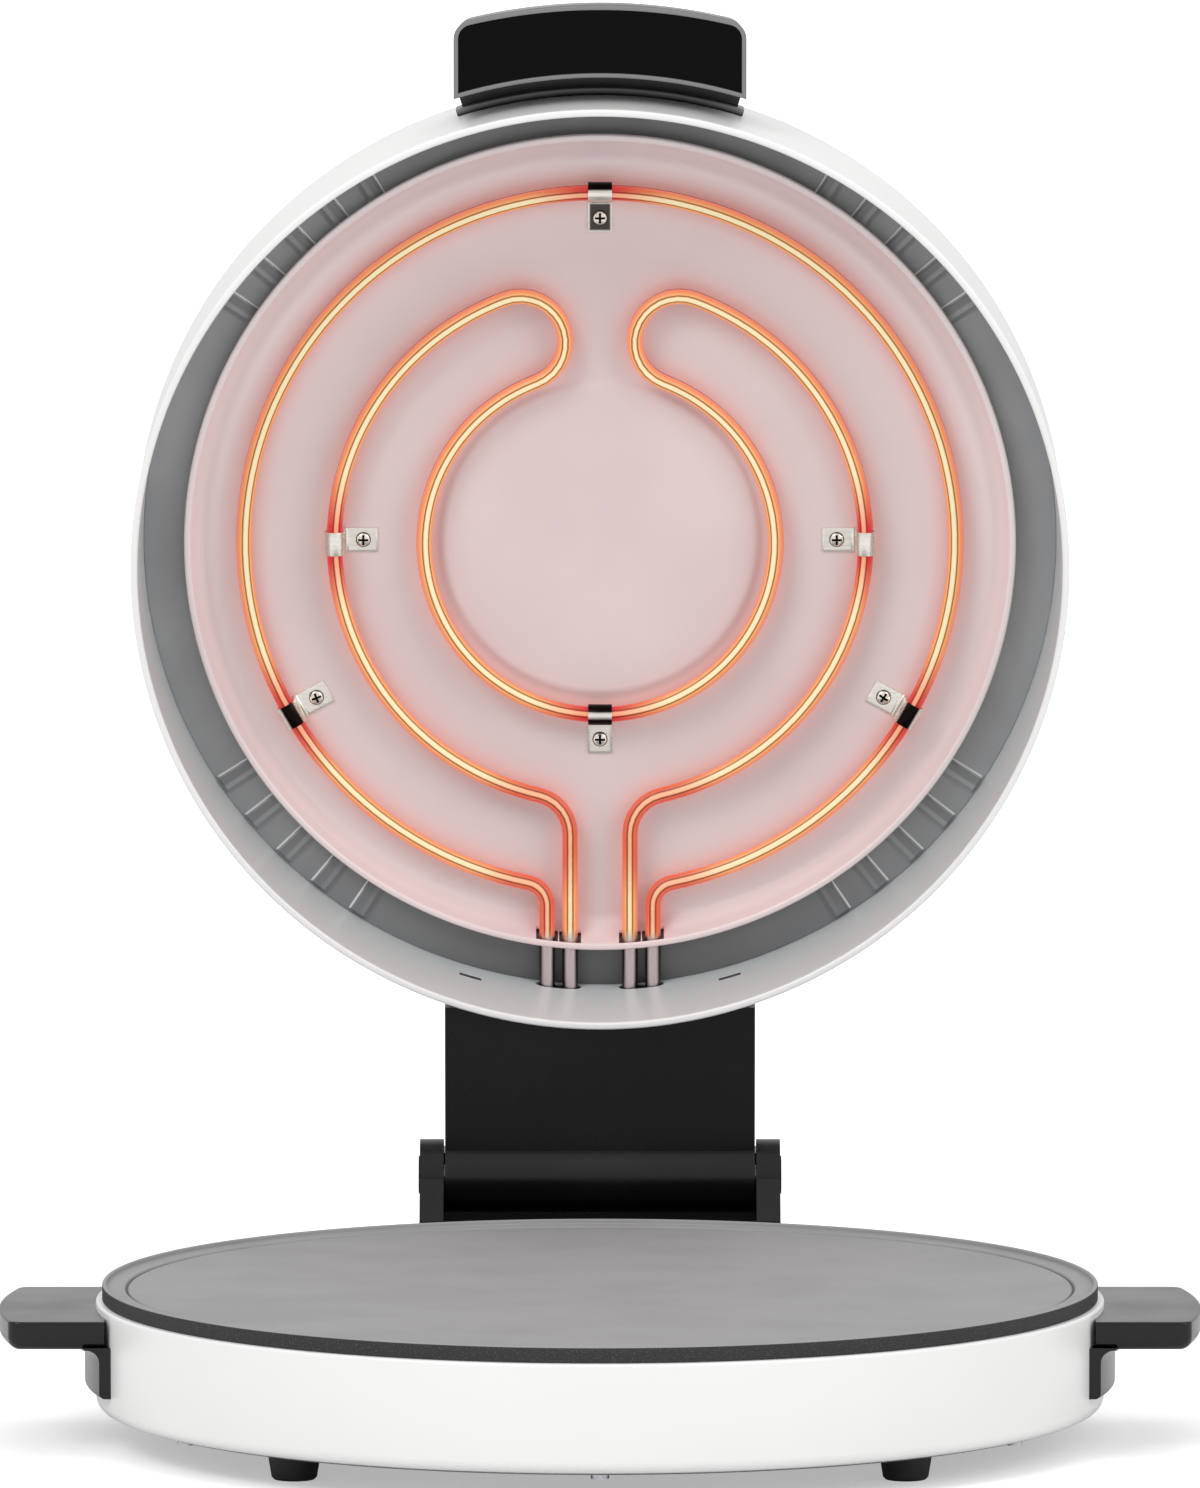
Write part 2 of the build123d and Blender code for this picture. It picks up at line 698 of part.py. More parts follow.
with BuildPart() as grip_screws:
    screw_y = grip_screw_spacing / 2
    head_x = sqrt(housing_inner_r**2 - (screw_y + small_head_r) ** 2) - pin_running_gap
    for side in (-1, 1):
        for end in (-1, 1):
            round_screw(Plane(origin=(side * head_x, base_y + end * screw_y, grip_screw_z),
                              z_dir=(-side, 0, 0)),
                        small_head_r, small_head_height, small_screw_r - pin_press_gap,
                        screw_length)
save(grip_screws, "grip_screws")

# Hinge stand: a hollow moulding behind the base with two ears for the pin
slot_half = arm_width / 2 + ear_gap
stand_top_front = housing_top - stand_front_drop
ledge_z = hinge_z + stop_rise - stop_gap
trough_r = barrel_r + barrel_gap
stand_u = hinge_u + stand_length
hollow_top = stand_top_front - stand_wall
hollow_front_r = housing_r + stand_wall
inner_u = stand_u - stand_wall
inner_half = stand_half - stand_wall
rear_room_start = hinge_u + trough_r + stand_wall
rear_room_length = inner_u - rear_room_start
stand_screw_places = [(side * stand_screw_x, base_clearance + rise)
                      for side in (-1, 1) for rise in stand_screw_rise]
with BuildPart() as housing_room:
    with BuildSketch(base_level(0)):
        Circle(housing_r)
    extrude(amount=plate_top)

with BuildPart() as hinge_stand:
    with BuildSketch(side_plane):
        with BuildLine():
            Polyline((ledge_r, base_clearance), (stand_u - stand_foot_chamfer, base_clearance),
                     (stand_u, base_clearance + stand_foot_chamfer), (stand_u, ledge_z),
                     (hinge_u, ledge_z), (hinge_u - barrel_r, hinge_z),
                     (hinge_u - barrel_r - stand_shoulder, stand_top_front + stand_shoulder_rise),
                     (ledge_r, stand_top_front), close=True)
        make_face()
        with Locations((hinge_u, hinge_z)):
            Circle(barrel_r)
    extrude(amount=stand_half, both=True)
    fillet(hinge_stand.edges().filter_by(Axis.Z).group_by(Axis.Y)[-1], stand_edge_round)
    with BuildSketch(side_plane):
        with Locations(((ledge_r + hinge_u) / 2, stand_top_front + plate_top / 2)):
            Rectangle(hinge_u - ledge_r, plate_top)
        with Locations((hinge_u, hinge_z)):
            Circle(trough_r)
        with Locations((hinge_u + stand_length, ledge_z + plate_top / 2)):
            Rectangle(2 * stand_length, plate_top)
    extrude(amount=slot_half, both=True, mode=Mode.SUBTRACT)
    with BuildSketch(base_level(base_clearance)) as hollow:
        with Locations((0, inner_u / 2)):
            Rectangle(2 * inner_half, inner_u)
        fillet(hollow.vertices().group_by(Axis.Y)[-1], stand_edge_round - stand_wall)
        Circle(hollow_front_r, mode=Mode.SUBTRACT)
        with Locations((0, hollow_front_r / 4)):
            Rectangle(2 * stand_half, hollow_front_r / 2, mode=Mode.SUBTRACT)
    extrude(amount=hollow_top - base_clearance, mode=Mode.SUBTRACT)
    with BuildSketch(base_level(base_clearance)):
        with Locations((0, rear_room_start + rear_room_length / 2)):
            Rectangle(2 * (slot_half - stand_wall), rear_room_length)
    extrude(amount=ledge_z - stand_wall - base_clearance, mode=Mode.SUBTRACT)
    with Locations((0, hinge_y, hinge_z)):
        Cylinder(pin_r + pin_press_gap, 4 * stand_half, rotation=(0, 90, 0), mode=Mode.SUBTRACT)
    for side in (-1, 1):
        with Locations((side * stand_half, hinge_y, hinge_z)):
            Cylinder(cap_r + pin_running_gap, 2 * cap_thickness, rotation=(0, 90, 0),
                     mode=Mode.SUBTRACT)
        with BuildSketch(Plane(origin=(side * stand_foot_x, stand_rear - stand_foot_inset,
                                       base_clearance))):
            Circle(foot_top_r)
        extrude(amount=hollow_top - base_clearance + stand_wall / 2)
    for x, z in stand_screw_places:
        with BuildSketch(Plane(origin=(x, base_y + hollow_front_r + boss_past, z),
                               z_dir=(0, -1, 0))):
            Circle(boss_r)
        extrude(amount=boss_past + ledge_width)
    add(housing_room.part, mode=Mode.SUBTRACT)
    for x, z in stand_screw_places:
        with Locations((x, base_y + housing_r, z)):
            Cylinder(small_screw_r, 2 * screw_length, rotation=(90, 0, 0), mode=Mode.SUBTRACT)
    with Locations((-stand_foot_x, stand_rear - stand_foot_inset, base_clearance),
                   (stand_foot_x, stand_rear - stand_foot_inset, base_clearance)):
        Cylinder(foot_screw_r, screw_length, mode=Mode.SUBTRACT)
    with Locations((0, base_y + housing_r, base_clearance + gland_rise)):
        Cylinder(wire_hole_r, 8 * stand_wall, rotation=(90, 0, 0), mode=Mode.SUBTRACT)
    with Locations((gland_x, stand_rear, base_clearance + gland_rise)):
        Cylinder(gland_neck_r + pin_press_gap, 4 * stand_wall, rotation=(90, 0, 0),
                 mode=Mode.SUBTRACT)
save(hinge_stand, "hinge_stand")

# Steel backing plate inside the housing, and the four screws that hold the stand
with BuildPart() as backing_plate:
    with BuildSketch(base_level(base_clearance + housing_bottom_round)) as backing:
        Circle(housing_inner_r - running_gap)
        with Locations((0, housing_r)):
            Rectangle(backing_width, housing_r, mode=Mode.INTERSECT)
        Circle(housing_inner_r - running_gap - backing_sheet, mode=Mode.SUBTRACT)
    extrude(amount=housing_height - 2 * housing_bottom_round)
    for side in (-1, 1):
        for rise in stand_screw_rise:
            with Locations((side * stand_screw_x, base_y + housing_r, base_clearance + rise)):
                Cylinder(small_screw_r + running_gap, housing_r, rotation=(90, 0, 0),
                         mode=Mode.SUBTRACT)
    with Locations((0, base_y + housing_r, base_clearance + gland_rise)):
        Cylinder(wire_hole_r, 8 * stand_wall, rotation=(90, 0, 0), mode=Mode.SUBTRACT)
save(backing_plate, "backing_plate")

with BuildPart() as stand_screws:
    backing_inner_r = housing_inner_r - running_gap - backing_sheet
    head_y = sqrt(backing_inner_r**2 - (stand_screw_x + small_head_r) ** 2) - pin_running_gap
    for x, z in stand_screw_places:
        round_screw(Plane(origin=(x, base_y + head_y, z), z_dir=(0, -1, 0)), small_head_r,
                    small_head_height, small_screw_r - pin_press_gap, screw_length)
save(stand_screws, "stand_screws")

# Rubber gland for the mains lead, in the stand's rear wall
with BuildPart() as cord_gland:
    gland_mouth = Plane(origin=(gland_x, stand_rear, base_clearance + gland_rise),
                        z_dir=(0, 1, 0))
    with BuildSketch(gland_mouth):
        Circle(gland_flange_r)
    extrude(amount=gland_flange)
    fillet(cord_gland.edges().group_by(Axis.Y)[-1], gland_flange / 2)
    with BuildSketch(gland_mouth):
        Circle(gland_neck_r)
    extrude(amount=-stand_wall - gland_flange)
    with BuildSketch(gland_mouth.offset(-stand_wall)):
        Circle(gland_neck_r + gland_lip)
    extrude(amount=-gland_flange)
    gland_length = 2 * gland_flange + stand_wall
    with BuildSketch(gland_mouth.offset(gland_flange)):
        Circle(gland_bore_r)
    extrude(amount=-gland_length, mode=Mode.SUBTRACT)
save(cord_gland, "cord_gland")

# Hinge pin through both ears, with a cap over each end
with BuildPart() as hinge_pin:
    with Locations((0, hinge_y, hinge_z)):
        Cylinder(pin_r, 2 * (stand_half - cap_thickness), rotation=(0, 90, 0))
save(hinge_pin, "hinge_pin")

with BuildPart() as pin_caps:
    for side in (-1, 1):
        cap_plane = Plane(origin=(side * (stand_half - cap_thickness), hinge_y, hinge_z),
                          z_dir=(side, 0, 0))
        with BuildSketch(cap_plane):
            Circle(cap_r)
        extrude(amount=cap_thickness + cap_dome)
save(pin_caps, "pin_caps")

# Lid shell: one drawn steel dome with a rolled lip
with BuildPart() as dome_envelope:
    revolve(dome_section(lid_section, 0), axis=lid_axis)
    outline = closed_section(lid_section, [(0, 0), (lid_r, 0), (lid_r, lip_bead_height),
                                 (0, lip_bead_height)])
    revolve(outline, axis=lid_axis)

with BuildPart() as dome_room:
    revolve(dome_section(lid_section, shell_wall), axis=lid_axis)

slot_x = (outer_leg_x + inner_leg_x) / 2
slot_pitch = outer_leg_x - inner_leg_x
bush_height = tube_d + 2 * bush_wall
with BuildPart() as wall_cutters:
    for side in (-1, 1):
        with BuildSketch(lid_radial_plane(side * slot_x, lip_inner_r / 2, tube_depth)):
            SlotCenterToCenter(slot_pitch, bush_height)
        extrude(amount=lid_r)
        with BuildSketch(lid_radial_plane(side * bracket_tab_x, lip_inner_r / 2,
                                          bracket_depths[1] - bracket_tab_size[1])):
            Rectangle(bracket_tab_size[0] + sheet_gap, bracket_tab_size[1] + sheet_gap)
        extrude(amount=lid_r)
        with BuildSketch(lid_radial_plane(side * handle_screw_x, -lip_inner_r / 2,
                                          handle_screw_depth)):
            Circle(small_screw_r + running_gap)
        extrude(amount=-lid_r)

with BuildPart() as lid_shell:
    add(dome_envelope.part)
    add(dome_room.part, mode=Mode.SUBTRACT)
    outline = closed_section(lid_section, [
        (lip_inner_r, lip_round), (lip_inner_r + lip_round, 0), (lid_r - lip_round, 0),
        (lid_r, lip_round),
        (lid_r, lip_bead_height), (side_r - shell_wall, lip_bead_height),
        (side_r - shell_wall, lip_bead_height / 2), (lip_inner_r, lip_bead_height / 2)])
    revolve(outline, axis=lid_axis)
    add(wall_cutters.part, mode=Mode.SUBTRACT)
save(lid_shell, "lid_shell")

# Inner wall: a white ring from the lip up to the liner, with a flange that carries it
flange_depth = liner_depth + liner_wall
wall_start = lip_bead_height / 2
with BuildPart() as lid_inner_wall:
    outline = closed_section(lid_section, [
        (lip_inner_r, wall_start), (lip_inner_r + inner_wall, wall_start),
        (lid_bore_r + inner_wall, flange_depth + inner_wall),
        (lid_bore_r - inner_flange_width, flange_depth + inner_wall),
        (lid_bore_r - inner_flange_width, flange_depth), (lid_bore_r, flange_depth)])
    revolve(outline, axis=lid_axis)
    add(wall_cutters.part, mode=Mode.SUBTRACT)
save(lid_inner_wall, "lid_inner_wall")

# Where the six element clips sit: ring radius, angle from the right and the tab's way out
clips = {
    "clip_top": (outer_ring_r, 90.0, -1),
    "clip_lower_left": (outer_ring_r, 209.6, -1),
    "clip_lower_right": (outer_ring_r, 330.4, -1),
    "clip_left": (middle_ring_r, 180.0, -1),
    "clip_right": (middle_ring_r, 0.0, -1),
    "clip_bottom": (inner_ring_r, 270.0, 1),
}
loop_inner = tube_r + clip_gap
loop_outer = loop_inner + clip_strap
tab_depth = floor_depth - clip_strap


def clip_frame(ring_r, angle, way):
    """The clip's centre on its tube, and the direction of its tab, in the lid's frame."""
    turn = radians(angle)
    outward = lid_plane.x_dir * cos(turn) - lid_plane.y_dir * sin(turn)
    centre = lid_plane.from_local_coords((ring_r * cos(turn), -ring_r * sin(turn), 0))
    return centre, outward * way


screw_spots = []
for ring_r, angle, way in clips.values():
    centre, tab_way = clip_frame(ring_r, angle, way)
    screw_spots.append(centre + tab_way * clip_screw_reach)

with BuildPart() as screw_holes:
    for spot in screw_spots:
        with BuildSketch(Plane(origin=spot + lid_plane.z_dir * tab_depth,
                               z_dir=lid_plane.z_dir)):
            Circle(clip_screw_r)
        extrude(amount=shoulder_r)

# Liner: a pressed steel disc with a seat for the reflector and twenty radial ribs
step_r = reflector_r - liner_step_inset
with BuildPart() as lid_liner:
    outline = closed_section(lid_section, [
        (0, liner_floor), (step_r - sheet_draft, liner_floor), (step_r, liner_depth),
        (liner_r, liner_depth), (liner_r, flange_depth), (step_r + liner_wall / 2, flange_depth),
        (step_r - sheet_draft + liner_wall / 2, liner_floor + liner_wall),
        (0, liner_floor + liner_wall)])
    revolve(outline, axis=lid_axis)
    rib_length = liner_r - step_r - 2 * liner_wall
    for quarter in range(4):
        mirror_side = 1 if quarter % 2 == 0 else -1
        for step in range(rib_count):
            offset_angle = (step - (rib_count - 1) / 2) * rib_pitch
            angle = radians(quarter * 90 + 45 + mirror_side * (rib_mid_angle - 45) + offset_angle)
            start = lid_plane.from_local_coords(((step_r + liner_wall) * cos(angle),
                                                 (step_r + liner_wall) * sin(angle), liner_depth))
            outward = (lid_plane.x_dir * cos(angle)) + (lid_plane.y_dir * sin(angle))
            across = outward.cross(lid_plane.z_dir)
            outline = closed_section(Plane(origin=start, x_dir=across, z_dir=outward), [
                (-rib_width / 2, 0), (rib_width / 2, 0), (rib_top_width / 2, rib_height),
                (-rib_top_width / 2, rib_height)])
            extrude(outline, amount=rib_length)
    add(screw_holes.part, mode=Mode.SUBTRACT)
save(lid_liner, "lid_liner")

# Reflector: a bright pan with a turned rim and a raised middle disc
window_top = rim_depth + reflector_wall
window_bottom = tube_depth + tube_r + leg_window_gap
wall_foot_r = reflector_r - reflector_floor_inset
with BuildPart() as reflector:
    outline = closed_section(lid_section, [
        (0, floor_depth - disc_rise), (disc_r - disc_rise, floor_depth - disc_rise),
        (disc_r, floor_depth), (wall_foot_r, floor_depth),
        (wall_foot_r + reflector_bend, floor_depth - reflector_bend),
        (reflector_r - reflector_rim_width, rim_depth),
        (reflector_r - reflector_wall / 2, rim_depth),
        (reflector_r, rim_depth + reflector_wall / 2),
        (reflector_r, rim_depth + reflector_skirt),
        (reflector_r - reflector_wall, rim_depth + reflector_skirt),
        (reflector_r - reflector_wall, window_top),
        (reflector_r - reflector_rim_width + reflector_wall, window_top),
        (wall_foot_r + reflector_bend + reflector_wall, floor_depth - reflector_bend
         + reflector_wall / 2), (wall_foot_r + reflector_wall / 2, liner_floor),
        (disc_r - reflector_wall / 2, liner_floor),
        (disc_r - disc_rise - reflector_wall / 2, liner_floor - disc_rise),
        (0, liner_floor - disc_rise)])
    revolve(outline, axis=lid_axis)
    with BuildSketch(lid_plane.offset(window_top)):
        with Locations((0, reflector_r)):
            Rectangle(leg_window_width, 3 * reflector_floor_inset)
    extrude(amount=window_bottom - window_top, mode=Mode.SUBTRACT)
    add(screw_holes.part, mode=Mode.SUBTRACT)
save(reflector, "reflector")

# Heating elements: each is one bent tube with its two legs through the lid's rear wall
leg_end = side_r + leg_past_wall
with BuildPart() as outer_element:
    with BuildLine(lid_plane.offset(tube_depth)) as outer_path:
        ring_path(outer_ring_r, outer_leg_x, outer_bend_r, leg_end)
    with BuildSketch(Plane(origin=outer_path.line @ 0, z_dir=outer_path.line % 0)):
        Circle(tube_r)
    sweep()
save(outer_element, "outer_element")

with BuildPart() as inner_element:
    with BuildLine(lid_plane.offset(tube_depth)) as inner_path:
        double_ring_path(middle_ring_r, inner_ring_r, inner_leg_x, inner_bend_r, hairpin_angle,
                         leg_end)
    with BuildSketch(Plane(origin=inner_path.line @ 0, z_dir=inner_path.line % 0)):
        Circle(tube_r)
    sweep()
save(inner_element, "inner_element")

leg_places = (-outer_leg_x, -inner_leg_x, inner_leg_x, outer_leg_x)
with BuildPart() as element_terminals:
    for x in leg_places:
        pin_end = leg_end + terminal_pin_length
        with BuildSketch(lid_radial_plane(x, leg_end, tube_depth)):
            Circle(terminal_pin_r)
        extrude(amount=terminal_pin_length)
        with BuildSketch(lid_radial_plane(x, pin_end, tube_depth)):
            Rectangle(terminal_tab[0], terminal_tab[2])
        extrude(amount=terminal_tab[1])
save(element_terminals, "element_terminals")

with BuildPart() as element_bushes:
    bush_start = lid_bore_r + inner_wall / 2
    for side in (-1, 1):
        with BuildSketch(lid_radial_plane(side * slot_x, bush_start, tube_depth)):
            SlotCenterToCenter(slot_pitch, bush_height - sheet_gap)
            with GridLocations(slot_pitch, 1, 2, 1):
                Circle(tube_r + pin_running_gap, mode=Mode.SUBTRACT)
        extrude(amount=bush_thickness)
save(element_bushes, "element_bushes")

# The clips, each a loop round the tube with a leg and a screwed tab on the pan
for clip_name, (ring_r, angle, way) in clips.items():
    centre, tab_way = clip_frame(ring_r, angle, way)
    clip_side = Plane(origin=centre, x_dir=tab_way, z_dir=tab_way.cross(lid_plane.z_dir))
    with BuildPart() as clip:
        with BuildSketch(clip_side):
            with Locations((0, tube_depth)):
                Circle(loop_outer)
            with BuildLine():
                Polyline((loop_inner, tube_depth), (loop_outer, tube_depth),
                         (loop_outer, tab_depth), (clip_tab, tab_depth), (clip_tab, floor_depth),
                         (loop_inner, floor_depth), close=True)
            make_face()
            with Locations((0, tube_depth)):
                Circle(loop_inner, mode=Mode.SUBTRACT)
        extrude(amount=clip_width / 2, both=True)
        hole = Plane(origin=centre + tab_way * clip_screw_reach + lid_plane.z_dir * tab_depth,
                     z_dir=lid_plane.z_dir)
        with BuildSketch(hole):
            Circle(clip_screw_r + pin_running_gap)
        extrude(amount=clip_strap, mode=Mode.SUBTRACT)
    save(clip, clip_name)

# Clip screws run through the pan and the liner into posts that reach the dome
with BuildPart() as clip_screws:
    for spot in screw_spots:
        head_plane = Plane(origin=spot + lid_plane.z_dir * tab_depth, x_dir=(1, 0, 0),
                           z_dir=-lid_plane.z_dir)
        round_screw(head_plane, clip_head_r, clip_head_height, clip_screw_r - pin_press_gap,
                    liner_floor - tab_depth + liner_wall + screw_past_liner)
        with BuildSketch(head_plane.offset(clip_head_height)):
            Rectangle(cross_length, cross_width)
            Rectangle(cross_width, cross_length)
        extrude(amount=-cross_depth, mode=Mode.SUBTRACT)
save(clip_screws, "clip_screws")

with BuildPart() as liner_posts:
    for spot in screw_spots:
        with BuildSketch(Plane(origin=spot + lid_plane.z_dir * (liner_floor + liner_wall),
                               z_dir=lid_plane.z_dir)):
            Circle(standoff_r)
        extrude(amount=shoulder_r)
    add(dome_room.part, mode=Mode.INTERSECT)
    add(screw_holes.part, mode=Mode.SUBTRACT)
save(liner_posts, "liner_posts")

# Arm: steel bracket from the lid's wall to the pin, inside a front and a rear cover
def heel_u(depth):
    """Where the arm's end lies, at a depth, so that it rests flat on the stand's ledge."""
    return hinge_u - (stop_rise - (depth - hinge_depth) * sin(lean)) / cos(lean)


def cheek_face(x, grow):
    """One cheek of the arm's bracket in side view, from the lid to its eye on the pin."""
    cheek_plane = Plane(origin=lid_side.origin + Vector(x, 0, 0), x_dir=lid_side.x_dir,
                        z_dir=(1, 0, 0))
    with BuildSketch(cheek_plane) as cheek:
        with BuildLine():
            Polyline((arm_start, bracket_depths[0]), (hinge_u, hinge_depth - bracket_eye_r),
                     (hinge_u, hinge_depth), (hinge_u - bracket_eye_r, hinge_depth + bracket_eye_r),
                     (hinge_u - bracket_taper, bracket_depths[1] - bracket_taper),
                     (arm_start, bracket_depths[1]), close=True)
        make_face()
        with Locations((hinge_u, hinge_depth)):
            Circle(bracket_eye_r)
        if grow > 0:
            offset(amount=grow, kind=Kind.INTERSECTION)
    return cheek.sketch


arm_half = arm_width / 2
arm_start = lid_bore_r - arm_round
slope_u = side_r + arm_slope_start
heel_end = hinge_depth + heel_depth
tab_length, tab_sheet = bracket_tab_size
with BuildPart() as arm_bracket:
    with BuildSketch(lid_plane.offset(bracket_depths[0])):
        Circle(side_r + bracket_sheet)
        with Locations((0, side_r)):
            Rectangle(2 * bracket_tab_x + tab_length, side_r, mode=Mode.INTERSECT)
    extrude(amount=bracket_depths[1] - bracket_depths[0])
    for side in (-1, 1):
        cheek = cheek_face(side * bracket_spacing / 2, 0)
        extrude(cheek, amount=bracket_sheet / 2, both=True)
    with BuildSketch(lid_plane):
        Circle(side_r)
    extrude(amount=lid_height, mode=Mode.SUBTRACT)
    for side in (-1, 1):
        with BuildSketch(lid_radial_plane(side * bracket_tab_x, lid_bore_r * bracket_tab_start,
                                          bracket_depths[1] - tab_sheet)):
            Rectangle(tab_length, tab_sheet)
        extrude(amount=side_r * (1 - bracket_tab_start) + bracket_sheet)
    with BuildSketch(lid_plane):
        Circle(lid_bore_r)
    extrude(amount=lid_height, mode=Mode.SUBTRACT)
    with Locations((0, hinge_y, hinge_z)):
        Cylinder(pin_r + pin_running_gap, arm_width, rotation=(0, 90, 0), mode=Mode.SUBTRACT)
save(arm_bracket, "arm_bracket")

screw_u = side_r + arm_screw_u
front_room_u = hinge_u - barrel_r
front_floor = arm_front_depth + arm_wall
with BuildPart() as arm_front_cover:
    with BuildSketch(lid_side):
        with BuildLine():
            Polyline((arm_start, arm_front_depth), (heel_u(hinge_depth), arm_front_depth),
                     (heel_u(hinge_depth), hinge_depth), (heel_u(arm_split_depth), arm_split_depth),
                     (arm_start, arm_split_depth), close=True)
        make_face()
        with Locations((hinge_u, hinge_depth)):
            Circle(barrel_r)
    extrude(amount=arm_half, both=True)
    with BuildSketch(lid_side):
        with BuildLine():
            Polyline((arm_start - cut_past, front_floor), (front_room_u, front_floor),
                     (front_room_u, arm_split_depth + cut_past),
                     (arm_start - cut_past, arm_split_depth + cut_past), close=True)
        make_face()
    extrude(amount=arm_half - arm_wall, both=True, mode=Mode.SUBTRACT)
    for side in (-1, 1):
        cheek = cheek_face(side * bracket_spacing / 2, sheet_gap)
        extrude(cheek, amount=bracket_sheet / 2 + sheet_gap, both=True, mode=Mode.SUBTRACT)
        post = Plane(origin=lid_plane.from_local_coords(
            (side * arm_screw_x, screw_u, arm_front_depth)), z_dir=lid_plane.z_dir)
        with BuildSketch(post.offset(arm_wall / 2)):
            Circle(boss_r)
        extrude(amount=arm_split_depth - arm_front_depth - arm_wall / 2)
        with BuildSketch(post.offset(2 * arm_wall)):
            Circle(small_screw_r)
        extrude(amount=arm_split_depth, mode=Mode.SUBTRACT)
    with Locations((0, hinge_y, hinge_z)):
        Cylinder(pin_r + pin_running_gap, 2 * arm_width, rotation=(0, 90, 0), mode=Mode.SUBTRACT)
    add(dome_envelope.part, mode=Mode.SUBTRACT)
save(arm_front_cover, "arm_front_cover")

with BuildPart() as arm_rear_cover:
    with BuildSketch(lid_side) as rear_profile:
        with BuildLine():
            Polyline((arm_start, arm_split_depth), (heel_u(arm_split_depth), arm_split_depth),
                     (heel_u(heel_end), heel_end), (slope_u, arm_rear_depth),
                     (arm_start, arm_rear_depth), close=True)
        make_face()
        fillet(rear_profile.vertices().sort_by_distance((heel_u(heel_end), heel_end))[0],
               arm_round)
        fillet(rear_profile.vertices().sort_by_distance((slope_u, arm_rear_depth))[0],
               3 * arm_round)
    extrude(amount=arm_half, both=True)
    with BuildSketch(lid_side) as rear_room:
        with BuildLine():
            Polyline((arm_start - cut_past, arm_split_depth - cut_past),
                     (heel_u(arm_split_depth) - arm_wall, arm_split_depth - cut_past),
                     (heel_u(heel_end) - arm_wall, heel_end - arm_wall / 2),
                     (slope_u - arm_wall / 2, arm_rear_depth - arm_wall),
                     (arm_start - cut_past, arm_rear_depth - arm_wall), close=True)
        make_face()
        fillet(rear_room.vertices().sort_by_distance((slope_u, arm_rear_depth))[0],
               3 * arm_round - arm_wall)
    extrude(amount=arm_half - arm_wall, both=True, mode=Mode.SUBTRACT)
    for side in (-1, 1):
        post = Plane(origin=lid_plane.from_local_coords(
            (side * arm_screw_x, screw_u, arm_split_depth)), z_dir=lid_plane.z_dir)
        with BuildSketch(post):
            Circle(boss_r)
        extrude(amount=arm_rear_depth - arm_split_depth - arm_wall / 2)
        with BuildSketch(post):
            Circle(small_screw_r + pin_running_gap)
        extrude(amount=arm_rear_depth, mode=Mode.SUBTRACT)
        with BuildSketch(post.offset(arm_wall)):
            Circle(small_head_r)
        extrude(amount=arm_rear_depth, mode=Mode.SUBTRACT)
    add(dome_envelope.part, mode=Mode.SUBTRACT)
save(arm_rear_cover, "arm_rear_cover")

with BuildPart() as arm_screws:
    for side in (-1, 1):
        spot = lid_plane.from_local_coords((side * arm_screw_x, screw_u,
                                            arm_split_depth + arm_wall))
        round_screw(Plane(origin=spot, z_dir=lid_plane.z_dir), small_head_r - pin_running_gap,
                    small_head_height, small_screw_r - pin_press_gap, screw_length)
save(arm_screws, "arm_screws")

# Lid handle: a hollow moulding on a foot at its rear, closed by a cover on its front
handle_r = side_r + handle_reach
under_r = side_r + handle_gap
handle_span = 4 * handle_reach
foot_start = handle_rear - handle_foot_thickness


def handle_outline(inset):
    """The handle's front view, drawn in by an inset, without its foot."""
    with BuildSketch(lid_plane.offset(handle_depth)) as outline:
        Circle(handle_r - inset)
        with Locations((0, -handle_r)):
            Rectangle(handle_width - 2 * inset, handle_span, mode=Mode.INTERSECT)
        fillet(outline.vertices().group_by(Axis.Y)[0], handle_corner_r - inset)
        Circle(under_r + inset, mode=Mode.SUBTRACT)
    return outline.sketch


def handle_envelope():
    """Half section of the handle's tapered outer side, to turn about the lid's axis."""
    with BuildSketch(lid_section) as envelope:
        with BuildLine():
            Polyline((0, 0), (handle_r, 0), (handle_r, handle_depth),
                     (handle_r - handle_taper, handle_rear), (0, handle_rear), close=True)
        make_face()
        fillet(envelope.vertices().sort_by_distance((handle_r, handle_rear))[0],
               handle_edge_round)
    return envelope.sketch


def foot_band(height, start, thickness):
    """A band of the handle's width that stands on the lid's side."""
    with BuildSketch(lid_plane.offset(start)) as band:
        Circle(side_r + height)
        with Locations((0, -handle_r)):
            Rectangle(handle_width, handle_span, mode=Mode.INTERSECT)
    extrude(band.sketch, amount=thickness)


with BuildPart() as lid_handle:
    extrude(handle_outline(0), amount=handle_thickness)
    foot_band(handle_gap + handle_wall, foot_start, handle_foot_thickness)
    foot_band(handle_foot_flange[0], foot_start - handle_foot_flange[1], handle_foot_thickness)
    revolve(handle_envelope(), axis=lid_axis, mode=Mode.INTERSECT)
    extrude(handle_outline(handle_wall), amount=handle_room_depth, taper=handle_draft,
            mode=Mode.SUBTRACT)
    for side in (-1, 1):
        boss = lid_radial_plane(side * handle_screw_x, -side_r, handle_screw_depth)
        with BuildSketch(boss):
            Circle(handle_boss_r)
        extrude(amount=-screw_length)
    add(dome_envelope.part, mode=Mode.SUBTRACT)
    for side in (-1, 1):
        boss = lid_radial_plane(side * handle_screw_x, -lid_bore_r / 2, handle_screw_depth)
        with BuildSketch(boss):
            Circle(small_screw_r)
        extrude(amount=-lid_bore_r / 2 - screw_length + handle_wall, mode=Mode.SUBTRACT)
save(lid_handle, "lid_handle")

with BuildPart() as handle_cover:
    cover_face = handle_outline(handle_wall + handle_cover_gap)
    extrude(cover_face.moved(Location(lid_plane.z_dir * handle_cover_gap)), amount=handle_wall)
save(handle_cover, "handle_cover")

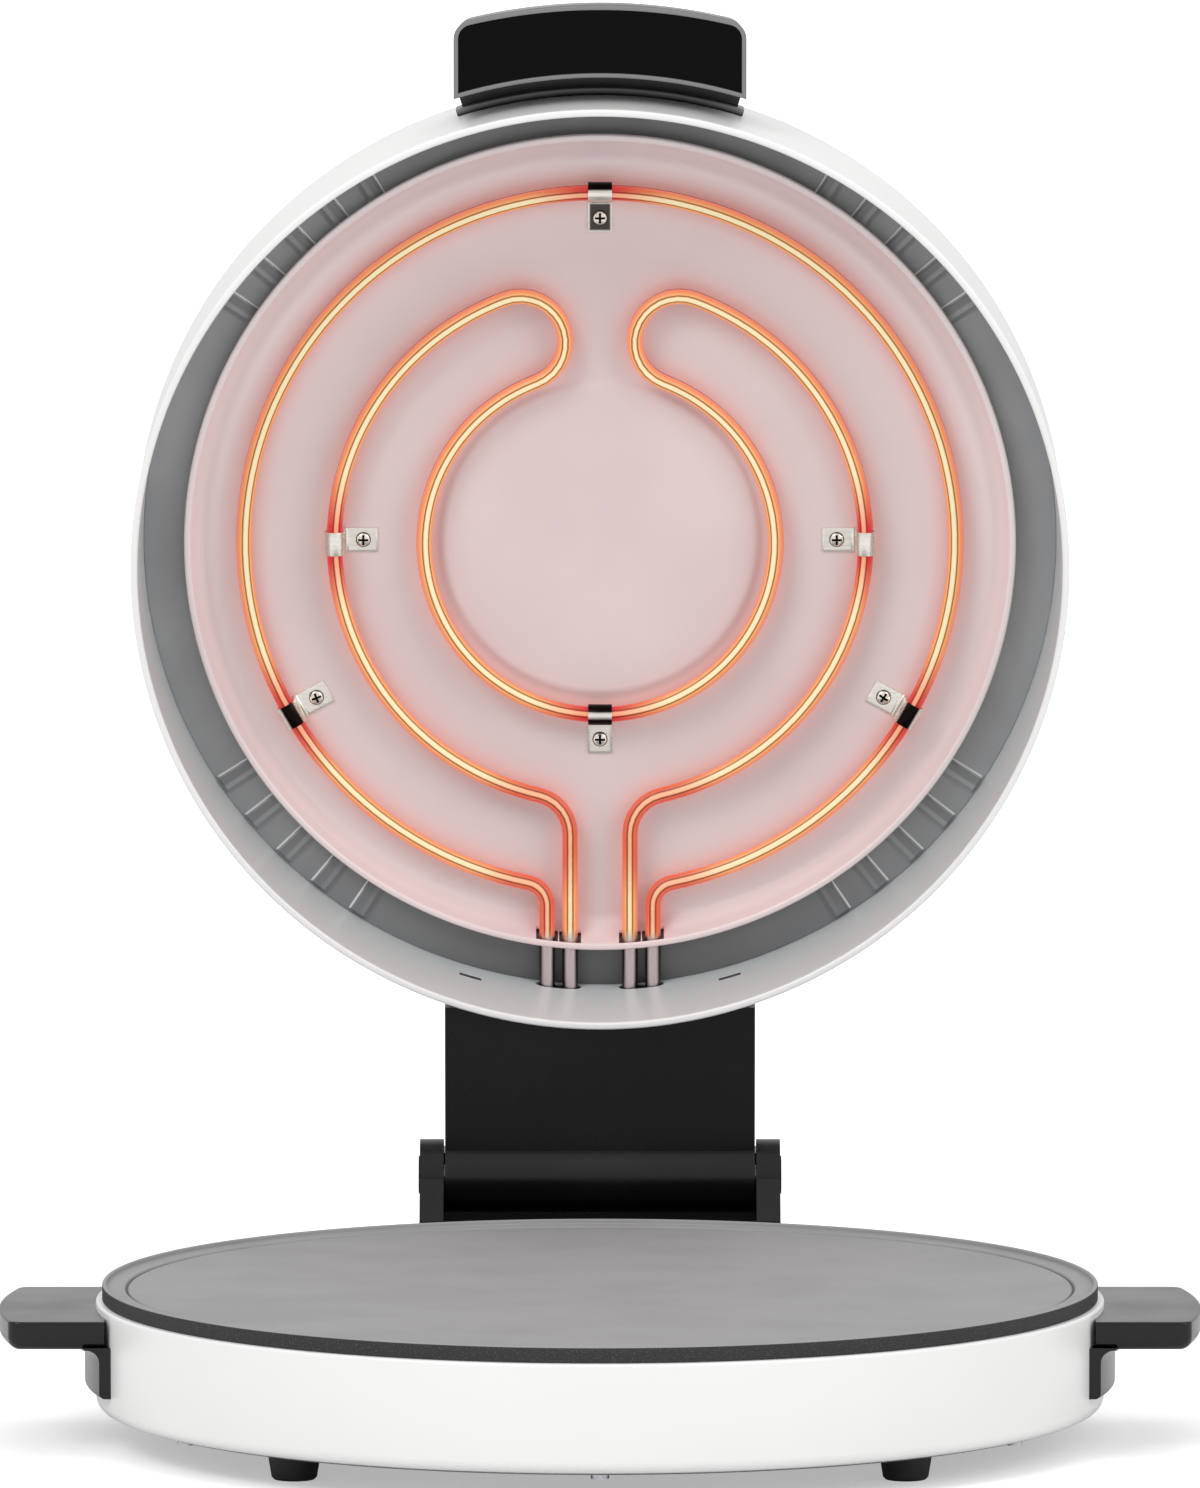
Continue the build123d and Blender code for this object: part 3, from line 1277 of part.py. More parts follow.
with BuildPart() as handle_screws:
    seat_u = sqrt(lid_bore_r**2 - (handle_screw_x + small_head_r) ** 2) - pin_running_gap
    for side in (-1, 1):
        head_plane = Plane(origin=lid_plane.from_local_coords(
            (side * handle_screw_x, -seat_u, handle_screw_depth)), x_dir=(1, 0, 0),
            z_dir=lid_plane.y_dir)
        round_screw(head_plane, small_head_r, small_head_height, small_screw_r - pin_press_gap,
                    screw_length)
save(handle_screws, "handle_screws")

print("origin to base centre", round(base_y, 3), "open lid lip centre", round(lip_rear, 3),
      round(lip_z, 3), "rear reach", round(rear_reach, 3))
print("hinge at", round(hinge_y, 3), round(hinge_z, 3), "range 0 to", open_angle)
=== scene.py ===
"""The electric pizza oven that stands open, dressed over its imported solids."""
import json
import logging
from abc import ABC, abstractmethod
from collections.abc import Callable, Iterable, Sequence
from dataclasses import dataclass, field
from enum import Enum
from math import asin, atan2, cos, degrees, exp, pi, radians, sin, sqrt

import bmesh
import bpy
from mathutils import Matrix, Vector


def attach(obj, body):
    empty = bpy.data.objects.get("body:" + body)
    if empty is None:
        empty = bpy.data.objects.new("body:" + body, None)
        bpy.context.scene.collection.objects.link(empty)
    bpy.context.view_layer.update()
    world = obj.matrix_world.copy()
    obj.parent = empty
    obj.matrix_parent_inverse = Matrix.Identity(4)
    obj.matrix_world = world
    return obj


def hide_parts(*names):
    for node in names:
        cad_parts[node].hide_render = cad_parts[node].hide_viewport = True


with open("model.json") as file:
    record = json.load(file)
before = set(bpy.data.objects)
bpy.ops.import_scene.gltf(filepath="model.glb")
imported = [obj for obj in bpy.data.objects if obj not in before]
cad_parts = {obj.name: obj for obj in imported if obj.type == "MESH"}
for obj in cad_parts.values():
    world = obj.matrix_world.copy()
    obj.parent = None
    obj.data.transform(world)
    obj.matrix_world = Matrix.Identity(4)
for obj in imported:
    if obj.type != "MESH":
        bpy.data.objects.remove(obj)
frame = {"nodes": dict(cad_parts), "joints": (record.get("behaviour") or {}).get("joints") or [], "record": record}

log = logging.getLogger("oven")

Colour = tuple[float, float, float, float]
Point = tuple[float, float]
MM = 0.001
UNLIT: Colour = (0.0, 0.0, 0.0, 1.0)


def tone(red: int, green: int, blue: int) -> Colour:
    """Turn a picture's tone into a shader colour.

    Args:
        red: Red from 0 to 255.
        green: Green from 0 to 255.
        blue: Blue from 0 to 255.

    Returns:
        The linear colour with full cover.
    """
    parts = [part / 255 for part in (red, green, blue)]
    flat = [p / 12.92 if p <= 0.04045 else ((p + 0.055) / 1.055) ** 2.4 for p in parts]
    return flat[0], flat[1], flat[2], 1.0


def reach_of(point: Vector) -> float:
    """Return a point's distance from its own frame's upright axis, in millimetres."""
    return sqrt(point.x**2 + point.y**2) / MM


def move_of(columns: Sequence[Vector]) -> Matrix:
    """Return the move whose columns are three axes and an origin."""
    rows = [[column[row] for column in columns] for row in range(3)]
    return Matrix([*rows, [0, 0, 0, 1]])


def points_of(made: Iterable[object]) -> list[bmesh.types.BMVert]:
    """Return the points among the items that an operator made."""
    return [item for item in made if isinstance(item, bmesh.types.BMVert)]


def marked(mesh: bmesh.types.BMesh, name: str, rule: Callable[[Vector], float]) -> None:
    """Write a value on every point of a mesh, for its finish to read.

    Args:
        mesh: The mesh.
        name: The value's name.
        rule: Gives the value at a place in metres.
    """
    layer = mesh.verts.layers.float.new(name)
    for point in mesh.verts:
        point[layer] = rule(point.co)


def softened(mesh: bmesh.types.BMesh, offset: float) -> bmesh.types.BMesh:
    """Round a mesh's sharp edges by an offset in millimetres and return it."""
    sharp = [edge for edge in mesh.edges if edge.calc_face_angle(0) > radians(50)]
    bmesh.ops.bevel(mesh, geom=sharp, offset=offset * MM, segments=2, profile=0.5,
                    affect="EDGES", material=-1)
    return mesh


def box(size: Vector, centre: Vector, turn: float = 0.0) -> bmesh.types.BMesh:
    """Return a box.

    Args:
        size: Its three sizes in millimetres.
        centre: Its centre in millimetres.
        turn: Degrees that it is turned about its upright axis.
    """
    mesh = bmesh.new()
    bmesh.ops.create_cube(mesh, size=1.0)
    bmesh.ops.scale(mesh, vec=size * MM, verts=mesh.verts)
    bmesh.ops.rotate(mesh, cent=(0, 0, 0), verts=mesh.verts,
                     matrix=Matrix.Rotation(radians(turn), 3, "Z"))
    bmesh.ops.translate(mesh, vec=centre * MM, verts=mesh.verts)
    return mesh


def shown(name: str, data: bpy.types.ID) -> bpy.types.Object:
    """Make an object of some data, put it in the scene and return it."""
    made = bpy.data.objects.new(name, data)
    bpy.context.scene.collection.objects.link(made)
    return made


class Body(Enum):
    """The oven's two bodies, which the hinge joins."""

    BASE = "base"
    LID = "lid"


class Slot(Enum):
    """The record's material slots, and three finishes of the scene's own."""

    WHITE = "white_paint"
    PLATE = "nonstick_grey"
    LINER = "grey_enamel"
    REFLECTOR = "reflector_aluminium"
    SHEATH = "element_sheath"
    PLASTIC = "black_plastic"
    ZINC = "zinc_steel"
    STRIP = "clip_steel"
    ROLLED = "dark_steel"
    RUBBER = "rubber_black"
    CERAMIC = "ceramic_white"
    INNER = "inner_paint"
    PANEL = "panel_black"
    GLAZED = "glazed_black"

    @property
    def packed(self) -> str:
        """The record's name for the slot."""
        own = {Slot.INNER: Slot.WHITE, Slot.PANEL: Slot.PLASTIC, Slot.GLAZED: Slot.CERAMIC}
        return own.get(self, self).value


class Wire:
    """One value in a finish's tree, on which Python arithmetic adds Math nodes."""

    def __init__(self, tree: "FinishTree", socket: bpy.types.NodeSocket) -> None:
        """Hold a socket and the tree that it belongs to."""
        self.tree = tree
        self.socket = socket

    def math(self, operation: str, *values: "Wire | float") -> "Wire":
        """Add one Math node.

        Args:
            operation: The Math node's operation.
            values: Its inputs in order.

        Returns:
            The node's result.
        """
        return self.tree.node("ShaderNodeMath", {"operation": operation},
                              dict(enumerate(values)))

    def __add__(self, other: "Wire | float") -> "Wire":
        """Return the sum."""
        return self.math("ADD", self, other)

    def __radd__(self, other: float) -> "Wire":
        """Return the sum with a number on the left."""
        return self.math("ADD", other, self)

    def __sub__(self, other: "Wire | float") -> "Wire":
        """Return the difference."""
        return self.math("SUBTRACT", self, other)

    def __rsub__(self, other: float) -> "Wire":
        """Return a number less this value."""
        return self.math("SUBTRACT", other, self)

    def __mul__(self, other: "Wire | float") -> "Wire":
        """Return the product."""
        return self.math("MULTIPLY", self, other)

    def __rmul__(self, other: float) -> "Wire":
        """Return the product with a number on the left."""
        return self.math("MULTIPLY", other, self)

    def band(self, low: float, high: float, start: float = 0.0, end: float = 1.0) -> "Wire":
        """Stretch a range of this value smoothly onto another one.

        Args:
            low: Where the range starts.
            high: Where it ends.
            start: The result at its start and below.
            end: The result at its end and above.

        Returns:
            The stretched value.
        """
        return self.tree.node("ShaderNodeMapRange", {"interpolation_type": "SMOOTHSTEP"},
                              {0: self, 1: low, 2: high, 3: start, 4: end})


class FinishTree:
    """The node tree of one finish."""

    def __init__(self, name: str) -> None:
        """Start a material that holds only its output.

        Args:
            name: The material's name.
        """
        self.material = bpy.data.materials.new(name)
        self.material.use_nodes = True
        self.nodes = self.material.node_tree.nodes
        self.links = self.material.node_tree.links
        self.nodes.clear()

    def node(self, kind: str, settings: dict[str, object] | None = None,
             sockets: dict[int | str, object] | None = None, out: int | str = 0) -> Wire:
        """Add any node.

        Args:
            kind: The node's type.
            settings: Its properties, or a ramp's stops, which are set first.
            sockets: The values or wires of its inputs.
            out: The output that is handed back.

        Returns:
            That output.
        """
        made = self.nodes.new(kind)
        for name, value in (settings or {}).items():
            if name == "stops":
                elements = made.color_ramp.elements
                while len(elements) < len(value):
                    elements.new(1.0)
                for element, (place, colour) in zip(elements, value):
                    element.position = place
                    element.color = colour
            else:
                setattr(made, name, value)
        for key, value in (sockets or {}).items():
            if isinstance(value, Wire):
                self.links.new(value.socket, made.inputs[key])
            else:
                made.inputs[key].default_value = value
        return Wire(self, made.outputs[out])

    def place(self) -> Wire:
        """Return the surface's place in the piece's own frame."""
        return self.node("ShaderNodeTexCoord", out="Object")

    def vector(self, operation: str, *values: "Wire | tuple[float, ...]") -> Wire:
        """Add one Vector Math node.

        Args:
            operation: The node's operation.
            values: Its vectors in order.

        Returns:
            The resulting vector.
        """
        return self.node("ShaderNodeVectorMath", {"operation": operation},
                         dict(enumerate(values)))

    def dot(self, first: Wire, second: "Wire | tuple[float, ...]") -> Wire:
        """Return how far two vectors point the same way."""
        return self.node("ShaderNodeVectorMath", {"operation": "DOT_PRODUCT"},
                         {0: first, 1: second}, out="Value")

    def painted(self, name: str) -> Wire:
        """Return a value that the piece's mesh carries."""
        return self.node("ShaderNodeAttribute", {"attribute_name": name}, out="Fac")

    def noise(self, scale: float, detail: float = 2.0, vector: Wire | None = None) -> Wire:
        """Return soft noise from 0 to 1.

        Args:
            scale: Cells per metre.
            detail: Finer layers on top.
            vector: Where it is read, if not at the surface's place.
        """
        return self.node("ShaderNodeTexNoise", None,
                         {"Vector": vector or self.place(), "Scale": scale, "Detail": detail})

    def specks(self, scale: float) -> Wire:
        """Return the distance to scattered points.

        Args:
            scale: Points per metre.
        """
        return self.node("ShaderNodeTexVoronoi", None,
                         {"Vector": self.place(), "Scale": scale})

    def stretched(self, x: float, y: float, z: float) -> Wire:
        """Return the surface's place, stretched along the axes.

        Args:
            x: Factor along X.
            y: Factor along Y.
            z: Factor along Z.
        """
        return self.node("ShaderNodeMapping", None,
                         {"Vector": self.place(), "Scale": (x, y, z)})

    def mixed(self, share: Wire | float, first: Wire | Colour, second: Wire | Colour) -> Wire:
        """Mix two colours.

        Args:
            share: The second one's share.
            first: The colour at 0.
            second: The colour at 1.

        Returns:
            The mixed colour.
        """
        return self.node("ShaderNodeMix", {"data_type": "RGBA"},
                         {0: share, 6: first, 7: second}, out=2)

    def bumped(self, height: Wire, depth: float, strength: float = 1.0) -> Wire:
        """Turn a height into a normal.

        Args:
            height: The height from 0 to 1.
            depth: How deep 1 is, in metres.
            strength: How much of it shows.

        Returns:
            The normal.
        """
        return self.node("ShaderNodeBump", None,
                         {"Height": height, "Distance": depth, "Strength": strength})

    def finished(self, values: dict[str, object]) -> bpy.types.Material:
        """Close the tree with the surface shader.

        Args:
            values: The shader's values and wires by socket.

        Returns:
            The material.
        """
        surface = self.node("ShaderNodeBsdfPrincipled", None, values)
        self.node_output(surface)
        return self.material

    def node_output(self, surface: Wire) -> None:
        """Lead a shader to the material's output."""
        output = self.nodes.new("ShaderNodeOutputMaterial")
        self.links.new(surface.socket, output.inputs["Surface"])


@dataclass(frozen=True)
class LidFrame:
    """Where the lid stands: its lip's centre, and its way to the hinge and into the dome."""

    origin: Vector
    to_hinge: Vector
    into_dome: Vector

    def matrix(self) -> Matrix:
        """Return the turn and shift from the lid's own frame into the oven's."""
        return move_of((Vector((1, 0, 0)), self.to_hinge, self.into_dome, self.origin))


@dataclass(frozen=True)
class Layout:
    """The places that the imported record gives, in metres."""

    hinge_set_back: float = 0.260
    hinge_depth: float = 0.0125
    lean: float = 7.0

    def base_y(self) -> float:
        """Return the base centre's place along Y."""
        mounts = {mount["name"]: mount for mount in frame["record"]["mounts"]}
        return mounts["baking_surface"]["pos_m"][1]

    def base(self) -> Matrix:
        """Return the shift from the base's centre on the table into the oven's frame."""
        return Matrix.Translation((0, self.base_y(), 0))

    def lid(self) -> LidFrame:
        """Return the open lid's frame."""
        lean = radians(self.lean)
        to_hinge = Vector((0, sin(lean), -cos(lean)))
        into_dome = Vector((0, cos(lean), sin(lean)))
        hinge = Vector(frame["joints"][0]["pos_m"])
        origin = hinge - to_hinge * self.hinge_set_back - into_dome * self.hinge_depth
        return LidFrame(origin, to_hinge, into_dome)


class Finish(ABC):
    """A finish that can be put on pieces."""

    @abstractmethod
    def build(self, tree: FinishTree) -> bpy.types.Material:
        """Fill a tree and return its material."""

    def material(self, name: str) -> bpy.types.Material:
        """Return this finish's material under a name, made once."""
        made = bpy.data.materials.get(name)
        return made or self.build(FinishTree(name))


@dataclass(frozen=True)
class BakedEnamel(Finish):
    """Gloss enamel baked on drawn steel, with a faint orange peel."""

    colour: Colour = tone(241, 241, 240)
    shade: Colour = tone(238, 238, 237)
    gloss: float = 0.32
    peel: float = 520.0
    peel_depth: float = 0.000012

    def build(self, tree: FinishTree) -> bpy.types.Material:
        """Fill a tree with the enamel."""
        cloud = tree.noise(9.0, 3.0)
        peel = tree.noise(self.peel, 1.5)
        dust = tree.specks(900.0).band(0.0, 0.09, 1.0, 0.0)
        colour = tree.mixed(cloud.band(0.35, 0.7) * 0.6 + dust * 0.12, self.colour, self.shade)
        return tree.finished({
            "Base Color": colour,
            "Roughness": cloud.band(0.3, 0.7, self.gloss, self.gloss + 0.07),
            "Coat Weight": 0.2, "Coat Roughness": 0.3,
            "Normal": tree.bumped(peel, self.peel_depth)})


@dataclass(frozen=True)
class NonStickCoat(Finish):
    """Grey coating sprayed on cast aluminium, matte with fine flecks, with painted shade on the plate's outer side
    and in its drip groove.
    """

    colour: Colour = tone(154, 154, 155)
    fleck: Colour = tone(178, 178, 179)
    hollow: Colour = tone(149, 149, 150)
    # The tone of the painted shade on the plate's outer side and in its groove.
    side_shade_tone: Colour = tone(50, 50, 51)

    def build(self, tree: FinishTree) -> bpy.types.Material:
        """Fill a tree with the coating."""
        grain = tree.noise(2600.0, 2.0)
        cloud = tree.noise(22.0, 4.0)
        fleck = tree.specks(1500.0).band(0.0, 0.28, 1.0, 0.0)
        ground = tree.mixed(cloud.band(0.35, 0.7), self.colour, self.hollow)
        # Painted shade: the mesh's 'edge' value darkens the plate's outer side and its drip groove.
        ground = tree.mixed(tree.painted("edge"), ground, self.side_shade_tone)
        return tree.finished({
            "Base Color": tree.mixed(fleck * 0.45, ground, self.fleck),
            "Specular IOR Level": 0.3,
            "Roughness": (grain * 0.1) + cloud.band(0.3, 0.7, 0.6, 0.66),
            "Normal": tree.bumped(grain + fleck * 0.5, 0.00005, 0.7)})


@dataclass(frozen=True)
class LinerEnamel(Finish):
    """Satin grey enamel on the pressed liner, with a light roll grain, painted shade towards the open lid's top
    and bottom, and a painted highlight line and painted shade strip on each rib.
    """

    colour: Colour = tone(168, 169, 170)
    dark: Colour = tone(160, 161, 163)
    end_shade_tone: Colour = tone(84, 84, 85)
    painted_light_tone: Colour = tone(240, 240, 240)
    shaded: Colour = tone(118, 119, 121)

    def build(self, tree: FinishTree) -> bpy.types.Material:
        """Fill a tree with the enamel."""
        roll = tree.noise(24.0, 4.0)
        pits = tree.noise(1600.0, 2.0)
        rubbed = tree.painted("rubbed")
        ground = tree.mixed(roll.band(0.3, 0.7), self.colour, self.dark)
        # Painted shade towards the top and bottom of the open lid.
        ground = tree.mixed(tree.painted("soot"), ground, self.end_shade_tone)
        # Painted shade on each rib's top.
        ground = tree.mixed(rubbed.band(-1.0, 0.0, 0.7, 0.0), ground, self.shaded)
        return tree.finished({
            # Painted highlight on each rib's upper crease.
            "Base Color": tree.mixed(rubbed.band(0.2, 0.9), ground, self.painted_light_tone),
            "Metallic": 0.15,
            "Roughness": roll.band(0.3, 0.7, 0.34, 0.44),
            "Normal": tree.bumped(pits, 0.00003, 0.6)})


@dataclass(frozen=True)
class ReflectorSheet(Finish):
    """Bright aluminium sheet with the tubes' glow painted on it beside them, as a pink tint and a faint emission,
    and painted light towards its rim.
    """

    colour: Colour = tone(231, 213, 212)
    far: Colour = tone(227, 207, 207)
    lightened: Colour = tone(250, 236, 236)
    glow_tint: Colour = tone(250, 190, 178)

    def build(self, tree: FinishTree) -> bpy.types.Material:
        """Fill a tree with the sheet."""
        warmth = tree.painted("warmth")
        cloud = tree.noise(16.0, 3.0)
        grain = tree.noise(1400.0, 2.0)
        ground = tree.mixed(cloud.band(0.35, 0.7), self.colour, self.far)
        # Painted light: the sheet lightens towards its rim, against the rim's shade, less towards the hinge.
        ground = tree.mixed(tree.painted("polish"), ground, self.lightened)
        # Painted glow: a pink tint and a faint emission beside the tubes, where their light falls on the sheet.
        return tree.finished({
            "Base Color": tree.mixed(warmth * 0.55, ground, self.glow_tint),
            "Metallic": 0.1,
            "Roughness": cloud.band(0.2, 0.8, 0.4, 0.46),
            "Emission Color": tree.mixed(warmth, UNLIT, tone(150, 66, 60)),
            "Emission Strength": 0.6,
            "Normal": tree.bumped(grain, 0.00001, 0.3)})


@dataclass(frozen=True)
class GlowingSheath(Finish):
    """Steel tube that glows from pale yellow in its middle to red at its flanks; the pale core is a painted
    highlight with a painted dark line beside it, and the unglowing legs carry painted shade on their flanks.
    """

    lid: LidFrame
    steel: Colour = tone(214, 198, 198)
    flank_shade: Colour = tone(84, 66, 68)
    tube_depth: float = 62.6
    lean_in: float = 0.2

    def build(self, tree: FinishTree) -> bpy.types.Material:
        """Fill a tree with the glow."""
        heat, lit = tree.painted("glow_share"), tree.painted("lit")
        normal = tree.node("ShaderNodeTexCoord", out="Normal")
        centre = self.lid.origin + self.lid.into_dome * self.tube_depth * MM
        radial = tree.vector("SUBTRACT", tree.place(), tuple(centre))
        inward = tree.dot(normal, tree.vector("NORMALIZE", radial)) * -self.lean_in
        mottle = tree.noise(420.0, 3.0)
        across = tree.dot(normal, tuple(-self.lid.into_dome)) + inward + (mottle - 0.5) * 0.02
        # The glow is real; its pattern, read from where the surface faces out of the lid, paints a pale core as a
        # highlight, a dark line beside it and red flanks.
        hot = tree.node("ShaderNodeValToRGB", {"stops": [
            (0.0, tone(110, 34, 28)), (0.05, tone(255, 140, 118)), (0.6, tone(255, 152, 102)),
            (0.87, tone(255, 184, 118)), (0.9, tone(158, 88, 44)), (0.948, tone(166, 98, 54)),
            (0.972, tone(255, 210, 146)), (0.995, tone(255, 240, 196))]}, {0: across})
        dull = tree.node("ShaderNodeValToRGB", {"stops": [
            (0.0, tone(100, 20, 24)), (0.05, tone(238, 76, 70)), (0.6, tone(226, 52, 50)),
            (0.87, tone(214, 36, 40)), (0.9, tone(140, 8, 22)), (0.948, tone(150, 12, 24)),
            (0.972, tone(240, 96, 74)), (0.995, tone(254, 168, 128))]}, {0: across})
        glow = tree.mixed(heat, dull, hot)
        # Painted shade: the unglowing steel darkens towards the tube's flanks and is brightest where it faces out
        # of the lid.
        painted_light_tone = tree.mixed(across.band(0.5, 0.97), self.flank_shade, self.steel)
        return tree.finished({
            "Base Color": tree.mixed(lit, painted_light_tone, tree.mixed(0.5, UNLIT, glow)),
            "Metallic": 1.0 - lit,
            "Roughness": mottle.band(0.3, 0.7, 0.32, 0.5),
            "Emission Color": tree.mixed(lit, UNLIT, glow),
            "Emission Strength": 0.5,
            "Normal": tree.bumped(mottle, 0.00003, 0.5)})


@dataclass(frozen=True)
class MouldedPlastic(Finish):
    """Black heat-resistant plastic with the fine grain of a sparked mould."""

    colour: Colour = tone(9, 9, 10)
    rubbed: Colour = tone(16, 16, 17)
    gloss: float = 0.2
    sheen: float = 0.4
    texture: float = 0.35
    # The tone of the painted highlight on rims and edges.
    edge: Colour = tone(140, 140, 140)

    def build(self, tree: FinishTree) -> bpy.types.Material:
        """Fill a tree with the plastic."""
        grain = tree.noise(2200.0, 2.0)
        flow = tree.noise(18.0, 3.0)
        ground = tree.mixed(flow.band(0.4, 0.75) * 0.5, self.colour, self.rubbed)
        return tree.finished({
            # Painted highlight where the mesh carries one.
            "Base Color": tree.mixed(tree.painted("polished_edge"), ground, self.edge),
            "Roughness": flow.band(0.3, 0.7, self.gloss, self.gloss + 0.08),
            "Specular IOR Level": self.sheen,
            "Normal": tree.bumped(grain, 0.00004, self.texture)})


@dataclass(frozen=True)
class SheetSteel(Finish):
    """Bare, plated or rolled steel, brushed along one axis, darker where a dark reflection or shade is painted on
    it.
    """

    colour: Colour
    streak: Colour
    gloss: float
    brushed: tuple[float, float, float] = (1.0, 30.0, 30.0)
    tarnish: float = 0.0
    stain_and_dark_reflection: Colour = tone(26, 20, 19)

    def build(self, tree: FinishTree) -> bpy.types.Material:
        """Fill a tree with the steel."""
        lines = tree.noise(60.0, 4.0, tree.stretched(*self.brushed))
        cloud = tree.noise(45.0, 4.0)
        ground = tree.mixed(lines.band(0.25, 0.75), self.colour, self.streak)
        ground = tree.mixed(cloud.band(0.5, 0.8) * self.tarnish, ground, tone(120, 108, 96))
        return tree.finished({
            # Painted dark reflection or painted shade where the mesh carries it.
            "Base Color": tree.mixed(tree.painted("stained"), ground, self.stain_and_dark_reflection),
            "Metallic": 1.0,
            "Roughness": lines.band(0.2, 0.8, self.gloss, self.gloss + 0.14),
            "Normal": tree.bumped(lines, 0.00003, 0.4)})


@dataclass(frozen=True)
class MouldedRubber(Finish):
    """Soft black rubber, dusty and faintly pitted."""

    colour: Colour = tone(26, 26, 27)
    dusty: Colour = tone(52, 52, 53)

    def build(self, tree: FinishTree) -> bpy.types.Material:
        """Fill a tree with the rubber."""
        pits = tree.noise(1300.0, 3.0)
        dust = tree.noise(120.0, 5.0).band(0.45, 0.75)
        return tree.finished({
            "Base Color": tree.mixed(dust * 0.5, self.colour, self.dusty),
            "Roughness": dust.band(0.0, 1.0, 0.55, 0.78),
            "Normal": tree.bumped(pits, 0.00006, 0.5)})


@dataclass(frozen=True)
class Steatite(Finish):
    """Unglazed ceramic with a chalky grain."""

    colour: Colour = tone(232, 226, 214)
    stain_and_dark_reflection: Colour = tone(206, 196, 180)

    def build(self, tree: FinishTree) -> bpy.types.Material:
        """Fill a tree with the ceramic."""
        grain = tree.noise(1500.0, 4.0)
        stain_and_dark_reflection = tree.noise(90.0, 4.0).band(0.5, 0.8)
        return tree.finished({
            "Base Color": tree.mixed(stain_and_dark_reflection * 0.6, self.colour, self.stain_and_dark_reflection),
            "Roughness": grain.band(0.3, 0.7, 0.6, 0.75),
            "Normal": tree.bumped(grain, 0.00005, 0.5)})


@dataclass(frozen=True)
class Palette:
    """The finish of each material slot."""

    lid: LidFrame

    def finish(self, slot: Slot) -> Finish:
        """Return the finish that a slot stands for."""
        finishes: dict[Slot, Finish] = {
            Slot.WHITE: BakedEnamel(),
            Slot.PLATE: NonStickCoat(),
            Slot.LINER: LinerEnamel(),
            Slot.REFLECTOR: ReflectorSheet(),
            Slot.SHEATH: GlowingSheath(self.lid),
            Slot.PLASTIC: MouldedPlastic(),
            Slot.ZINC: SheetSteel(tone(206, 208, 212), tone(182, 184, 190), 0.26, tarnish=0.1),
            Slot.STRIP: SheetSteel(tone(242, 237, 228), tone(232, 226, 218), 0.22),
            Slot.ROLLED: SheetSteel(tone(120, 120, 122), tone(98, 98, 101), 0.36, tarnish=0.3),
            Slot.RUBBER: MouldedRubber(),
            Slot.CERAMIC: Steatite(),
            # Painted shade: a darker, slightly blue copy of the white enamel for the lid's inner wall, which also
            # offsets the tubes' pink light.
            Slot.INNER: BakedEnamel(tone(212, 219, 220), tone(208, 215, 216)),
            Slot.PANEL: MouldedPlastic(tone(4, 4, 4), tone(6, 6, 6), 0.14, 0.07, 0.1),
            Slot.GLAZED: Steatite(tone(20, 18, 18), tone(34, 30, 30)),
        }
        return finishes[slot]

    def material(self, slot: Slot) -> bpy.types.Material:
        """Return a slot's material."""
        return self.finish(slot).material(f"{slot.value}_finish")


class Outline:
    """A wire half section that is drawn point by point and then turned on its axis."""

    def __init__(self, radius: float, height: float, soft: float = 0.0) -> None:
        """Start the section.

        Args:
            radius: Distance of the first point from the axis, in millimetres.
            height: Its place along the axis.
            soft: How far its corner is rounded.
        """
        self.mesh = bmesh.new()
        self.corners: list[tuple[Vector, float]] = []
        self.last = self._point(radius, height, soft)
        self.start = self.last.co.copy()

    def _point(self, radius: float, height: float, soft: float) -> bmesh.types.BMVert:
        """Add one point and remember its rounding."""
        point = self.mesh.verts.new((radius * MM, 0, height * MM))
        if soft:
            self.corners.append((point.co.copy(), soft * MM))
        return point

    def to(self, radius: float, height: float, soft: float = 0.0, cuts: int = 0) -> "Outline":
        """Draw a straight line.

        Args:
            radius: Its end's distance from the axis.
            height: Its end's place along the axis.
            soft: How far the corner there is rounded.
            cuts: How many points divide the line.

        Returns:
            This outline.
        """
        point = self._point(radius, height, soft)
        end = point.co.copy()
        edge = self.mesh.edges.new((self.last, point))
        if cuts:
            bmesh.ops.subdivide_edges(self.mesh, edges=[edge], cuts=cuts)
        self.last = self._nearest(end)
        return self

    def _nearest(self, place: Vector) -> bmesh.types.BMVert:
        """Return the point that lies at a place."""
        return min(self.mesh.verts, key=lambda point: (point.co - place).length)

    def turn(self, radius: float, height: float, angle: float, steps: int) -> "Outline":
        """Draw an arc round a centre.

        Args:
            radius: The centre's distance from the axis.
            height: The centre's place along the axis.
            angle: Degrees from the axis outwards.
            steps: How many edges the arc gets.

        Returns:
            This outline.
        """
        made = bmesh.ops.spin(self.mesh, geom=[self.last], cent=(radius * MM, 0, height * MM),
                              axis=(0, 1, 0), angle=radians(angle), steps=steps)
        self.last = points_of(made["geom_last"])[0]
        return self

    def turned(self, steps: int, closed: bool = True) -> bmesh.types.BMesh:
        """Round the corners and turn the section once round the axis.

        Args:
            steps: How many flats make the full turn.
            closed: Whether the last point joins the first.

        Returns:
            The closed body.
        """
        if closed:
            self.mesh.edges.new((self.last, self._nearest(self.start)))
        for corner, soft in self.corners:
            bmesh.ops.bevel(self.mesh, geom=[self._nearest(corner)], offset=soft,
                            offset_type="OFFSET", segments=5, profile=0.5,
                            affect="VERTICES", material=-1)
        bmesh.ops.spin(self.mesh, geom=[*self.mesh.verts, *self.mesh.edges], cent=(0, 0, 0),
                       axis=(0, 0, 1), angle=2 * pi, steps=steps, use_merge=True)
        bmesh.ops.remove_doubles(self.mesh, verts=self.mesh.verts, dist=0.000002)
        bmesh.ops.recalc_face_normals(self.mesh, faces=self.mesh.faces)
        return self.mesh


